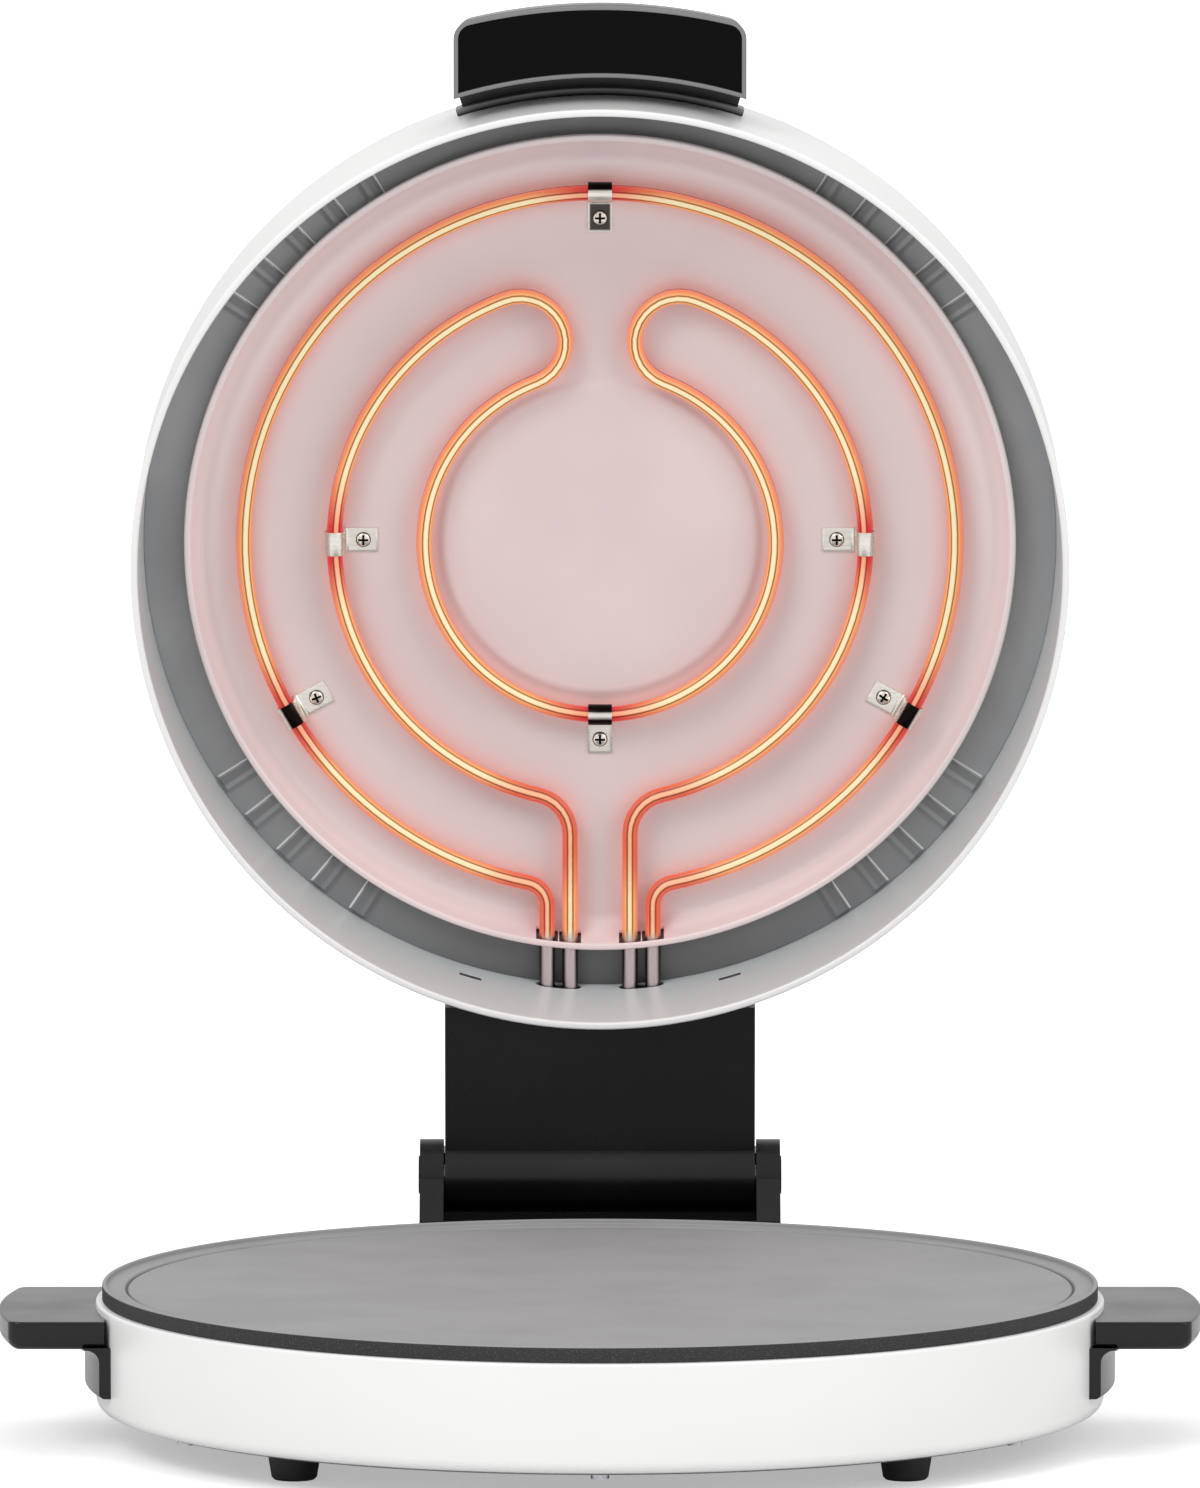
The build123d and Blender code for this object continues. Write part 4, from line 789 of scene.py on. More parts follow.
class BentBar:
    """A bar of one cross-section that is led along straights and bends in a plane."""

    def __init__(self, section: Sequence[Vector]) -> None:
        """Start at one end.

        Args:
            section: The corners of the bar's end face, in metres.
        """
        self.mesh = bmesh.new()
        points = [self.mesh.verts.new(corner) for corner in section]
        pairs = zip(points, points[1:] + points[:1])
        self.end = [self.mesh.edges.new(pair) for pair in pairs]

    def straight(self, step: Vector) -> "BentBar":
        """Lead the bar straight on.

        Args:
            step: The way and length, in metres.

        Returns:
            This bar.
        """
        made = bmesh.ops.extrude_edge_only(self.mesh, edges=self.end)["geom"]
        points = points_of(made)
        bmesh.ops.translate(self.mesh, verts=points, vec=step)
        self.end = [edge for edge in made if isinstance(edge, bmesh.types.BMEdge)
                    and all(point in points for point in edge.verts)]
        return self

    def bend(self, centre: Vector, axis: Vector, angle: float, pitch: float) -> "BentBar":
        """Lead the bar round a centre.

        Args:
            centre: The bend's centre, in metres.
            axis: The axis of the bend.
            angle: Degrees of bend.
            pitch: Degrees in each flat.

        Returns:
            This bar.
        """
        points = {point for edge in self.end for point in edge.verts}
        made = bmesh.ops.spin(self.mesh, geom=[*points, *self.end], cent=centre, axis=axis,
                              angle=radians(angle), steps=max(2, round(abs(angle) / pitch)))
        self.end = [item for item in made["geom_last"] if isinstance(item, bmesh.types.BMEdge)]
        return self

    def closed(self) -> bmesh.types.BMesh:
        """Cap both ends and return the body."""
        bmesh.ops.remove_doubles(self.mesh, verts=self.mesh.verts, dist=0.000001)
        rims = [edge for edge in self.mesh.edges if edge.is_boundary]
        bmesh.ops.holes_fill(self.mesh, edges=rims, sides=0)
        bmesh.ops.recalc_face_normals(self.mesh, faces=self.mesh.faces)
        return self.mesh


@dataclass
class Workshop:
    """Turns meshes into dressed pieces that ride on a body."""

    palette: Palette
    crease: float = 32.0

    def cut(self, body: bmesh.types.BMesh, tool: bmesh.types.BMesh) -> bmesh.types.BMesh:
        """Cut one mesh out of another.

        Args:
            body: The mesh that stays.
            tool: The mesh that is taken out of it.

        Returns:
            The cut mesh.
        """
        scraps = []
        for mesh in (body, tool):
            data = bpy.data.meshes.new("scrap")
            mesh.to_mesh(data)
            mesh.free()
            scraps.append(shown("scrap", data))
        cutter = scraps[0].modifiers.new("cut", "BOOLEAN")
        cutter.operation = "DIFFERENCE"
        cutter.object = scraps[1]
        result = bmesh.new()
        bpy.context.view_layer.update()
        result.from_object(scraps[0], bpy.context.evaluated_depsgraph_get())
        for scrap in scraps:
            bpy.data.meshes.remove(scrap.data)
        return result

    def publish(self, mesh: bmesh.types.BMesh, name: str, slot: Slot, body: Body,
                replaced: Iterable[str] = (), place: Matrix | None = None
                ) -> bpy.types.Object:
        """Make a piece of a mesh and put it on its body.

        Args:
            mesh: The finished mesh.
            name: The piece's name.
            slot: The material slot of its finish.
            body: The body that it rides on.
            replaced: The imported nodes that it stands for.
            place: The move from its own frame into the oven's.

        Returns:
            The piece.
        """
        if place is not None:
            bmesh.ops.transform(mesh, matrix=place, verts=mesh.verts)
        data = bpy.data.meshes.new(name)
        mesh.to_mesh(data)
        mesh.free()
        data.shade_smooth()
        data.set_sharp_from_angle(angle=radians(self.crease))
        piece = shown(name, data)
        data.materials.append(self.palette.material(slot))
        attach(piece, body.value)
        slot.packed
        nodes = list(replaced)
        if nodes:
            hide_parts(*nodes)
        log.info("%s: %d faces on the %s", name, len(data.polygons), body.value)
        return piece


@dataclass
class BaseHousing:
    """The white ring of the base, rolled of thin steel."""

    radius: float = 202.5
    bottom: float = 13.0
    top: float = 56.5
    sheet: float = 1.0
    ledge_radius: float = 188.0
    flange_radius: float = 182.5
    bottom_round: float = 5.0
    top_round: float = 1.2

    def build(self, shop: Workshop, place: Matrix) -> None:
        """Turn the ring and put it in place."""
        inner = self.radius - self.sheet
        ring = Outline(self.flange_radius, self.bottom)
        ring.to(self.radius, self.bottom, self.bottom_round)
        ring.to(self.radius, self.top, self.top_round)
        ring.to(self.ledge_radius, self.top).to(self.ledge_radius, self.top - self.sheet)
        ring.to(inner, self.top - self.sheet)
        ring.to(inner, self.bottom + self.sheet, self.bottom_round - self.sheet)
        ring.to(self.flange_radius, self.bottom + self.sheet)
        shop.publish(ring.turned(240), "housing_ring", Slot.WHITE, Body.BASE,
                     ["base_housing"], place)


@dataclass
class BakingPlate:
    """The cast plate with its outer lip, the lid's land and the drip groove."""

    radius: float = 200.0
    seat: float = 56.5
    top: float = 63.0
    land: float = 61.0
    cooking: float = 60.6
    groove_floor: float = 60.1
    lip_width: float = 1.8
    land_width: float = 7.2
    groove_width: float = 1.8
    under: float = 55.6
    skirt_radius: float = 187.2
    skirt_end: float = 52.5
    skirt_width: float = 3.0
    # How much painted shade the drip groove gets.
    groove_shade: float = 0.8

    def painted_shade(self, point: Vector) -> float:
        """Return the painted shade: 1 on the plate's outer side, less in its groove and 0 elsewhere."""
        reach, height = reach_of(point), point.z / MM
        if reach > self.radius - 0.2 and height < self.top - 0.4:
            return 1.0
        in_groove = (reach < self.radius - self.lip_width - self.land_width
                     and abs(height - self.groove_floor) < 0.1)
        return self.groove_shade * in_groove

    def build(self, shop: Workshop, place: Matrix) -> None:
        """Turn the plate and put it in place."""
        land_outer = self.radius - self.lip_width
        land_inner = land_outer - self.land_width
        skirt_inner = self.skirt_radius - self.skirt_width
        plate = Outline(0, self.under).to(skirt_inner, self.under)
        plate.to(skirt_inner, self.skirt_end, 0.4).to(self.skirt_radius, self.skirt_end, 0.4)
        plate.to(self.skirt_radius, self.seat).to(self.radius, self.seat, 0.5)
        plate.to(self.radius, self.top, 0.85).to(land_outer, self.top, 0.7)
        plate.to(land_outer, self.land, 0.5).to(land_inner, self.land, 0.35)
        plate.to(land_inner - 0.4, self.groove_floor, 0.25)
        plate.to(land_inner - self.groove_width + 0.4, self.groove_floor, 0.25)
        plate.to(land_inner - self.groove_width, self.cooking, 0.35)
        plate.to(0, self.cooking, cuts=6)
        mesh = plate.turned(240, closed=False)
        # Painted shade on the outer side and in the groove, stored as the 'edge' value.
        marked(mesh, "edge", self.painted_shade)
        shop.publish(mesh, "cooking_plate", Slot.PLATE, Body.BASE, ["baking_plate"], place)


@dataclass
class LidDome:
    """The drawn dome of the lid with its rolled lip."""

    radius: float = 194.3
    lip_radius: float = 194.8
    lip_inner: float = 191.8
    bead: float = 3.0
    wall: float = 0.8
    side: float = 62.0
    shoulder: float = 26.0
    height: float = 93.0

    def build(self, shop: Workshop, place: Matrix) -> None:
        """Turn the dome and put it in place."""
        centre = self.radius - self.shoulder
        drop = self.height - self.side
        crown = (centre**2 + drop**2 - self.shoulder**2) / (2 * (drop - self.shoulder))
        lift = degrees(asin(centre / (crown - self.shoulder)))
        dome = Outline(0, self.height)
        dome.turn(0, self.height - crown, lift, 24)
        dome.turn(centre, self.side, 90 - lift, 18)
        dome.to(self.radius, self.bead + 0.8, 0.5).to(self.lip_radius, self.bead - 0.4, 0.5)
        dome.to(self.lip_radius, 0, 1.1).to(self.lip_inner, 0, 0.9)
        dome.to(self.lip_inner, self.bead / 2)
        dome.to(self.radius - self.wall, self.bead / 2)
        dome.to(self.radius - self.wall, self.side)
        dome.turn(centre, self.side, lift - 90, 18)
        dome.turn(0, self.height - crown, -lift, 24)
        shop.publish(dome.turned(240, closed=False), "dome_shell", Slot.WHITE, Body.LID,
                     ["lid_shell"], place)


@dataclass
class RibbedLiner:
    """The pressed grey liner with four groups of five ribs."""

    radius: float = 191.0
    depth: float = 67.8
    wall: float = 0.8
    step_radius: float = 170.8
    floor: float = 71.3
    ribs: int = 5
    pitch: float = 6.0
    middle: float = 45.5
    rib_width: float = 9.0
    rib_top: float = 5.0
    rib_height: float = 1.8
    rib_ends: tuple[float, float] = (172.0, 190.2)
    band_cuts: tuple[float, ...] = (171.8, 172.6, 173.8, 176.0, 180.0, 184.0, 188.0, 189.6,
                                    190.4)
    # Where the painted highlight line and the painted shade strip lie across each rib.
    crease_at: float = 3.9
    crease_width: float = 0.8
    shade_from: float = -0.6
    # How much of the painted shade the open lid's top gets.
    top_end_shade: float = 0.8

    def angles(self) -> list[float]:
        """Return the ribs' angles from the right towards the hinge."""
        found = []
        for quarter in range(4):
            lean = self.middle - 45 if quarter % 2 == 0 else 45 - self.middle
            for step in range(self.ribs):
                found.append(quarter * 90 + 45 + lean
                             + (step - (self.ribs - 1) / 2) * self.pitch)
        return found

    def on_band(self, point: Vector) -> bool:
        """Return whether a point lies on the band's face, between the ribs' ends."""
        start, end = self.rib_ends
        return start < reach_of(point) < end and abs(point.z / MM - self.depth) < 0.05

    def off_rib(self, point: Vector) -> float:
        """Return how far a point lies from the nearest rib's middle, upwards when open.

        Args:
            point: A point on the band, in metres.
        """
        angle = degrees(atan2(point.y, point.x))
        gap = min(((angle - rib + 180) % 360 - 180 for rib in self.angles()), key=abs)
        across = radians(gap) * reach_of(point)
        return across if point.x < 0 else -across

    def rise(self, point: Vector) -> float:
        """Return how far the rib at a point stands out of the band.

        Args:
            point: A point on the band, in metres.
        """
        reach = (self.rib_width / 2 - abs(self.off_rib(point))) / (self.rib_width - self.rib_top)
        return self.rib_height * MM * max(0.0, min(1.0, 2 * reach))

    def rib_light_and_shade(self, point: Vector) -> float:
        """Return 1 on a rib's upper crease, where a highlight is painted, -1 on its top, where shade is painted,
        and 0 elsewhere.
        """
        if not self.on_band(point):
            return 0.0
        off = self.off_rib(point)
        if abs(off - self.crease_at) < self.crease_width / 2:
            return 1.0
        return -1.0 if self.shade_from < off < self.crease_at - self.crease_width else 0.0

    def soot(self, point: Vector) -> float:
        """Return how much painted shade a point gets: most beside the hinge and at the open lid's top."""
        u = point.y / MM / self.radius
        return u**4 if u > 0 else self.top_end_shade * u**4

    def build(self, shop: Workshop, place: Matrix) -> None:
        """Turn the liner, press its ribs and put it in place."""
        back = self.depth + self.wall
        liner = Outline(0, self.floor).to(self.step_radius - 2, self.floor, 0.8)
        liner.to(self.step_radius, self.depth, 0.8)
        for radius in self.band_cuts:
            liner.to(radius, self.depth)
        liner.to(self.radius, self.depth).to(self.radius, back)
        liner.to(self.step_radius + self.wall, back)
        liner.to(self.step_radius - 2 + self.wall, self.floor + self.wall)
        liner.to(0, self.floor + self.wall)
        mesh = liner.turned(1440, closed=False)
        # Painted highlight and painted shade on the ribs.
        marked(mesh, "rubbed", self.rib_light_and_shade)
        for point in mesh.verts:
            if self.on_band(point.co):
                point.co.z -= self.rise(point.co)
        # Painted shade towards the open lid's top and bottom.
        marked(mesh, "soot", self.soot)
        shop.publish(mesh, "ribbed_liner", Slot.LINER, Body.LID, ["lid_liner"], place)


@dataclass
class TubeRoute:
    """One heating tube's centre line in the lid's plane: two legs, bends and rings."""

    leg: float
    bend: float
    ring: float
    inner_ring: float | None = None
    hairpin: float = 21.1
    leg_end: float = 212.3

    def contact(self) -> tuple[float, float]:
        """Return the leg bends' centre height and their contact angle on the ring."""
        reach = self.ring + self.bend
        height = sqrt(reach**2 - (self.leg + self.bend) ** 2)
        return height, degrees(atan2(height, self.leg + self.bend))

    def moves(self) -> list[tuple[Point, float] | float]:
        """Return the straights' lengths, and the bends' centres and angles, in order."""
        height, contact = self.contact()
        straight = height - self.leg_end
        left: tuple[Point, float] = ((-self.leg - self.bend, height), -contact)
        right: tuple[Point, float] = ((self.leg + self.bend, height), -contact)
        if self.inner_ring is None:
            return [straight, left, ((0.0, 0.0), 180 + 2 * contact), right, -straight]
        middle = (self.ring + self.inner_ring) / 2
        start, end = 270 - self.hairpin, 270 + self.hairpin
        across = middle * cos(radians(start))
        up = middle * sin(radians(start))
        arc = start - 180 + contact
        return [straight, left, ((0.0, 0.0), arc), ((across, up), 180.0),
                ((0.0, 0.0), end - 360 - start), ((-across, up), 180.0), ((0.0, 0.0), arc),
                right, -straight]

    def gap(self, x: float, u: float) -> float:
        """Return how far a point of the lid's plane lies from the centre line.

        Args:
            x: The point's place to the right.
            u: Its place towards the hinge.
        """
        radius = sqrt(x**2 + u**2)
        height, contact = self.contact()
        from_hinge = degrees(atan2(abs(x), u))
        gaps = []
        if u > height:
            gaps.append(abs(abs(x) - self.leg))
        elif from_hinge < 90 - contact:
            bow = sqrt((abs(x) - self.leg - self.bend) ** 2 + (u - height) ** 2)
            gaps.append(abs(bow - self.bend))
        if from_hinge >= 90 - contact and from_hinge <= 180 - self.hairpin * bool(self.inner_ring):
            gaps.append(abs(radius - self.ring))
        if self.inner_ring and from_hinge <= 180 - self.hairpin:
            gaps.append(abs(radius - self.inner_ring))
        if self.inner_ring and from_hinge > 180 - self.hairpin:
            middle = (self.ring + self.inner_ring) / 2
            bow = sqrt((abs(x) - middle * sin(radians(self.hairpin))) ** 2
                       + (u + middle * cos(radians(self.hairpin))) ** 2)
            gaps.append(abs(bow - (self.ring - self.inner_ring) / 2))
        return min(gaps, default=radius)


@dataclass
class HeatingTube:
    """A bent tube that glows except beside its clips and in its legs."""

    name: str
    node: str
    route: TubeRoute
    clips: list[Point]
    depth: float = 62.6
    radius: float = 3.25
    sides: int = 24
    leg_cuts: int = 28
    glow_end: float = 169.5
    glow_fade: float = 2.0
    clip_reach: float = 7.0
    clip_fade: float = 22.0
    bend_reach: float = 2.0
    bend_fade: float = 14.0
    bend_loss: float = 0.7

    def lit(self, point: Vector) -> float:
        """Return 1 where the tube glows and 0 past its glowing end."""
        return max(0.0, min(1.0, (self.glow_end - point.y / MM) / self.glow_fade))

    def heat(self, point: Vector) -> float:
        """Return the share of full glow, which drops beside the clips and the leg bends."""
        share = 1.0
        for x, u in self.clips:
            gap = sqrt((point.x / MM - x) ** 2 + (point.y / MM - u) ** 2)
            share = min(share, max(0.0, (gap - self.clip_reach) / self.clip_fade))
        height = self.route.contact()[0]
        bend_x = self.route.leg + self.route.bend
        gap = sqrt((abs(point.x / MM) - bend_x) ** 2 + (point.y / MM - height) ** 2)
        past = max(0.0, gap - self.route.bend - self.bend_reach)
        near = max(0.0, 1 - past / self.bend_fade)
        return max(0.0, min(share, 1 - self.bend_loss * near))

    def build(self, shop: Workshop, place: Matrix) -> None:
        """Bend the tube, mark its glow and put it in place."""
        start = Vector((-self.route.leg, self.route.leg_end, self.depth)) * MM
        section = []
        for side in range(self.sides):
            turn = 2 * pi * side / self.sides
            section.append(start + Vector((cos(turn), 0, sin(turn))) * self.radius * MM)
        bar = BentBar(section)
        for move in self.route.moves():
            if isinstance(move, float):
                for _ in range(self.leg_cuts):
                    bar.straight(Vector((0, move / self.leg_cuts, 0)) * MM)
            else:
                (x, u), angle = move
                reach = abs(angle)
                pitch = 2.5 if (x, u) == (0.0, 0.0) else min(12.0, reach / 6)
                bar.bend(Vector((x, u, self.depth)) * MM, Vector((0, 0, 1)), angle, pitch)
        mesh = bar.closed()
        marked(mesh, "glow_share", self.heat)
        marked(mesh, "lit", self.lit)
        shop.publish(mesh, self.name, Slot.SHEATH, Body.LID, [self.node], place)


@dataclass
class Reflector:
    """The bright pan behind the tubes, with a rolled rim and a raised middle disc."""

    routes: list[TubeRoute]
    radius: float = 174.1
    rim: float = 57.8
    skirt_end: float = 61.1
    sheet: float = 0.7
    floor: float = 70.6
    floor_radius: float = 163.8
    disc_radius: float = 68.4
    disc_rise: float = 1.2
    tube_depth: float = 62.6
    window: tuple[float, float, float] = (9.2, 58.5, 66.65)
    # How far the painted glow reaches from a tube's line and from the floor's depth.
    glow_reach: float = 6.8
    glow_depth: float = 14.0
    # Where the painted light starts, and how much of it the hinge side loses.
    lightening_from: float = 120.0
    lightening_loss: float = 0.8

    def warmth(self, point: Vector) -> float:
        """Return how strongly the nearest tube's painted glow lies on a point of the pan.

        Args:
            point: A point of the pan, in metres.
        """
        x, u, d = point / MM
        nearest = min(route.gap(x, u) for route in self.routes)
        shallow = max(0.0, 1 - abs(d - self.floor) / self.glow_depth)
        return exp(-(nearest / self.glow_reach) ** 2) * shallow

    def polish(self, point: Vector) -> float:
        """Return how much painted light a point gets: more to the edge, and less towards the hinge."""
        reach = reach_of(point) - self.lightening_from
        share = max(0.0, min(1.0, reach / (self.floor_radius - self.lightening_from)))
        return share * (1 - self.lightening_loss * max(0.0, point.y / MM / self.radius))

    def build(self, shop: Workshop, place: Matrix) -> None:
        """Turn the pan, cut a slot for each leg, mark its painted glow and painted light and put it in place."""
        back = self.floor + self.sheet
        disc = self.floor - self.disc_rise
        pan = Outline(0, disc).to(self.disc_radius - 3.4, disc, 1.2, cuts=14)
        pan.to(self.disc_radius, self.floor, 1.2)
        pan.to(self.floor_radius, self.floor, 3.0, cuts=34)
        pan.to(self.floor_radius + 5.5, self.floor - 5.5, 2.4)
        pan.to(self.radius - 2.6, self.rim, 0.9).to(self.radius, self.rim, 0.8)
        pan.to(self.radius, self.skirt_end).to(self.radius - self.sheet, self.skirt_end)
        pan.to(self.radius - self.sheet, self.rim + self.sheet)
        pan.to(self.radius - 1.9, self.rim + self.sheet)
        pan.to(self.floor_radius + 6.2, self.floor - 5.2)
        pan.to(self.floor_radius + 0.4, back).to(self.disc_radius - 0.4, back)
        pan.to(self.disc_radius - 3.8, disc + self.sheet).to(0, disc + self.sheet)
        mesh = pan.turned(240, closed=False)
        width, low, high = self.window
        for leg in (side * route.leg for route in self.routes for side in (-1, 1)):
            mesh = shop.cut(mesh, box(Vector((width, 30, high - low)),
                                      Vector((leg, self.radius, (low + high) / 2))))
        # Painted glow beside the tubes.
        marked(mesh, "warmth", self.warmth)
        # Painted light towards the rim.
        marked(mesh, "polish", self.polish)
        shop.publish(mesh, "reflector_pan", Slot.REFLECTOR, Body.LID, ["reflector"], place)


@dataclass
class ElementClip:
    """A bent steel strip that holds a tube, and its screw with a cross recess."""

    node: str
    ring: float
    angle: float
    way: int
    tube_depth: float = 62.6
    loop: float = 3.95
    strip: float = 0.9
    width: float = 10.0
    tab_end: float = 18.0
    tab_depth: float = 70.1
    screw_reach: float = 12.0
    head_radius: float = 3.2
    head_height: float = 1.9
    recess: tuple[float, float, float] = (4.3, 1.0, 2.2)
    # Painted dark reflections: bands along the strap, and a share over the tab's middle.
    dark_reflections: tuple[Point, ...] = ()
    tab_reflection: float = 0.0
    tab_edge: float = 0.9

    def spot(self) -> Point:
        """Return the clip's centre on its tube."""
        turn = radians(self.angle)
        return self.ring * cos(turn), -self.ring * sin(turn)

    def frame(self) -> Matrix:
        """Return the move from the clip's own frame, tab along X, into the lid's."""
        turn = radians(self.angle)
        out = Vector((cos(turn), -sin(turn), 0)) * self.way
        into = Vector((0, 0, 1))
        across = into.cross(out)
        x, u = self.spot()
        return move_of((out, across, into, Vector((x * MM, u * MM, 0))))

    def strip_mesh(self) -> bmesh.types.BMesh:
        """Return the bent strip in its own frame."""
        half, thick = self.width / 2 * MM, self.strip / 2 * MM
        end, depth = self.tab_end * MM, self.tab_depth * MM
        loop, turn = self.loop * MM, 1.6 * MM
        across = Vector((0, 1, 0))
        bar = BentBar([Vector((end, -half, depth - thick)), Vector((end, half, depth - thick)),
                       Vector((end, half, depth + thick)), Vector((end, -half, depth + thick))])
        bar.straight(Vector((loop + turn - end, 0, 0)))
        bar.bend(Vector((loop + turn, 0, depth - turn)), across, -90, 15)
        bar.straight(Vector((0, 0, self.tube_depth * MM - depth + turn)))
        bar.bend(Vector((0, 0, self.tube_depth * MM)), across, 258, 12)
        mesh = softened(bar.closed(), 0.16)
        tab = [face for face in mesh.faces
               if face.normal.z < -0.99 and face.calc_center_median().x > 2 * loop]
        bmesh.ops.inset_region(mesh, faces=tab, thickness=self.tab_edge * MM,
                               use_even_offset=True)
        # Painted dark reflections on the tab's middle and on bands of the strap.
        layer = mesh.verts.layers.float.new("stained")
        middle = {point for face in tab for point in face.verts}
        for point in mesh.verts:
            if point in middle:
                point[layer] = self.tab_reflection
            elif point.co.z < depth - turn and any(
                    low < point.co.x / MM < high for low, high in self.dark_reflections):
                point[layer] = 1.0
        return mesh

    def head_shade(self, point: Vector) -> float:
        """Return the painted shade on the screw's head: most in its recess, less at its edge."""
        reach = reach_of(point)
        if reach < 2.4 and point.z / MM > self.tab_depth - self.strip / 2 - 1.2:
            return 1.0
        return 0.85 * (reach > self.head_radius - 0.4)

    def head_mesh(self, shop: Workshop) -> bmesh.types.BMesh:
        """Return the screw's head with its cross recess, in the clip's own frame."""
        low = self.tab_depth - self.strip / 2
        head = Outline(0, low + 0.3).to(self.head_radius - 0.3, low + 0.3)
        head.to(self.head_radius, low - 0.2, 0.25)
        head.to(self.head_radius - 0.1, low - 0.9, 0.5)
        head.to(self.head_radius - 1.3, low - 1.65, 0.9).to(0, low - self.head_height)
        mesh = head.turned(40, closed=False)
        for turn in (0.0, 90.0):
            mesh = shop.cut(mesh, box(Vector(self.recess),
                                      Vector((0, 0, low - self.head_height - 0.1)),
                                      turn + self.angle % 45 * 0.3))
        # Painted shade in the cross recess and round the head's edge.
        marked(mesh, "stained", self.head_shade)
        bmesh.ops.translate(mesh, vec=(self.screw_reach * MM, 0, 0), verts=mesh.verts)
        return mesh

    def build(self, shop: Workshop, lid: Matrix, screw_node: str | None) -> None:
        """Bend the strip, make its screw and put both in place.

        Args:
            shop: The workshop.
            lid: The lid's place.
            screw_node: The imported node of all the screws, for the first clip alone.
        """
        place = lid @ self.frame()
        shop.publish(self.strip_mesh(), f"{self.node}_strip", Slot.STRIP, Body.LID,
                     [self.node], place)
        shop.publish(self.head_mesh(shop), f"{self.node}_screw", Slot.STRIP, Body.LID,
                     [screw_node] if screw_node else [], place)


@dataclass
class LidHandle:
    """The lid's curved grip with its raised rim, and the foot that it stands on."""

    width: float = 121.0
    radius: float = 235.8
    under: float = 205.5
    front: float = 15.0
    rear: float = 50.0
    corner: float = 8.0
    taper: float = 4.5
    edge_round: float = 0.8
    # Shares of the painted highlight on the grip's front rim and on the flange's edge.
    polish: float = 0.9
    flange_highlight: float = 0.8
    insets: tuple[tuple[float, float], ...] = ((0.5, 0.0), (0.5, 0.0), (0.25, 0.5))
    foot: tuple[float, float, float, float] = (194.2, 207.0, 41.0, 50.0)
    flange: tuple[float, float, float, float] = (194.2, 197.3, 38.5, 47.5)

    def led(self, mesh: bmesh.types.BMesh, point: bmesh.types.BMVert, centre: Point,
            angle: float, steps: int) -> bmesh.types.BMVert:
        """Lead a wire round a centre.

        Args:
            mesh: The wire's mesh.
            point: Its end.
            centre: The arc's centre in the lid's plane, in millimetres.
            angle: Radians of arc.
            steps: Its number of edges.

        Returns:
            The new end.
        """
        made = bmesh.ops.spin(mesh, geom=[point], cent=(centre[0] * MM, centre[1] * MM, 0),
                              axis=(0, 0, 1), angle=angle, steps=steps)["geom_last"]
        return points_of(made)[0]

    def outline(self) -> bmesh.types.BMesh:
        """Return the grip's front view as one face."""
        half, depth = self.width / 2, self.front * MM
        inner = half - self.corner
        height = sqrt((self.radius - self.corner) ** 2 - inner**2)
        turn = -atan2(height, inner)
        mesh = bmesh.new()
        start = mesh.verts.new((-half * MM, -sqrt(self.under**2 - half**2) * MM, depth))
        end = self.led(mesh, start, (0, 0), 2 * asin(half / self.under), 40)
        side = mesh.verts.new((half * MM, -height * MM, depth))
        mesh.edges.new((end, side))
        end = self.led(mesh, side, (inner, -height), turn, 9)
        end = self.led(mesh, end, (0, 0), -(pi + 2 * turn), 44)
        end = self.led(mesh, end, (-inner, -height), turn, 9)
        mesh.edges.new((end, start))
        bmesh.ops.holes_fill(mesh, edges=mesh.edges, sides=0)
        return mesh

    def grip_mesh(self) -> bmesh.types.BMesh:
        """Return the grip with its tapered back, its rim and its sunk panel."""
        mesh = self.outline()
        made = bmesh.ops.extrude_face_region(mesh, geom=list(mesh.faces))["geom"]
        for point in points_of(made):
            point.co.z = self.rear * MM
            if point.co.xy.length > (self.radius + self.under) / 2 * MM:
                point.co.xy *= 1 - self.taper / self.radius
        bmesh.ops.recalc_face_normals(mesh, faces=mesh.faces)
        ends = [edge for edge in mesh.edges if abs(edge.verts[0].co.z - edge.verts[1].co.z)
                < 0.001 * MM]
        bmesh.ops.bevel(mesh, geom=ends, offset=self.edge_round * MM, segments=3, profile=0.5,
                        affect="EDGES", material=-1)
        # Painted highlight along the front rim, taken off the sunk panel.
        layer = mesh.verts.layers.float.new("polished_edge")
        face = min(mesh.faces, key=lambda item: item.calc_center_median().z)
        for point in mesh.verts:
            on_front = point.co.z < (self.front + 0.7 * self.edge_round) * MM
            point[layer] = self.polish * on_front
        for step, drop in self.insets:
            bmesh.ops.inset_region(mesh, faces=[face], thickness=step * MM, depth=-drop * MM,
                                   use_even_offset=True)
            for point in face.verts:
                point[layer] = 0.0 if drop else self.polish
        return mesh

    def foot_mesh(self, size: tuple[float, float, float, float]) -> bmesh.types.BMesh:
        """Return a curved band that stands on the lid's side.

        Args:
            size: Its lower and upper radius, and its front and rear depth.
        """
        low, high, front, rear = size
        half = asin((self.width / 2 - 0.6) / high)
        way = Vector((-sin(half), -cos(half), 0))
        section = [way * radius * MM + Vector((0, 0, depth * MM))
                   for radius, depth in ((low, front), (low, rear), (high, rear), (high, front))]
        bar = BentBar(section).bend(Vector((0, 0, 0)), Vector((0, 0, 1)), degrees(2 * half), 1.0)
        mesh = softened(bar.closed(), 0.5)
        is_flange = high < self.under - 5
        # Painted highlight along the flange's outer edge.
        marked(mesh, "polished_edge", lambda point: self.flange_highlight * (
            is_flange and point.xy.length > (high - 0.6) * MM))
        return mesh

    def build(self, shop: Workshop, place: Matrix) -> None:
        """Make the grip and its foot and put them in place."""
        shop.publish(self.grip_mesh(), "handle_grip", Slot.PANEL, Body.LID,
                     ["lid_handle", "handle_cover"], place)
        shop.publish(self.foot_mesh(self.foot), "handle_foot", Slot.PLASTIC, Body.LID, [], place)
        shop.publish(self.foot_mesh(self.flange), "handle_flange", Slot.PLASTIC, Body.LID, [],
                     place)


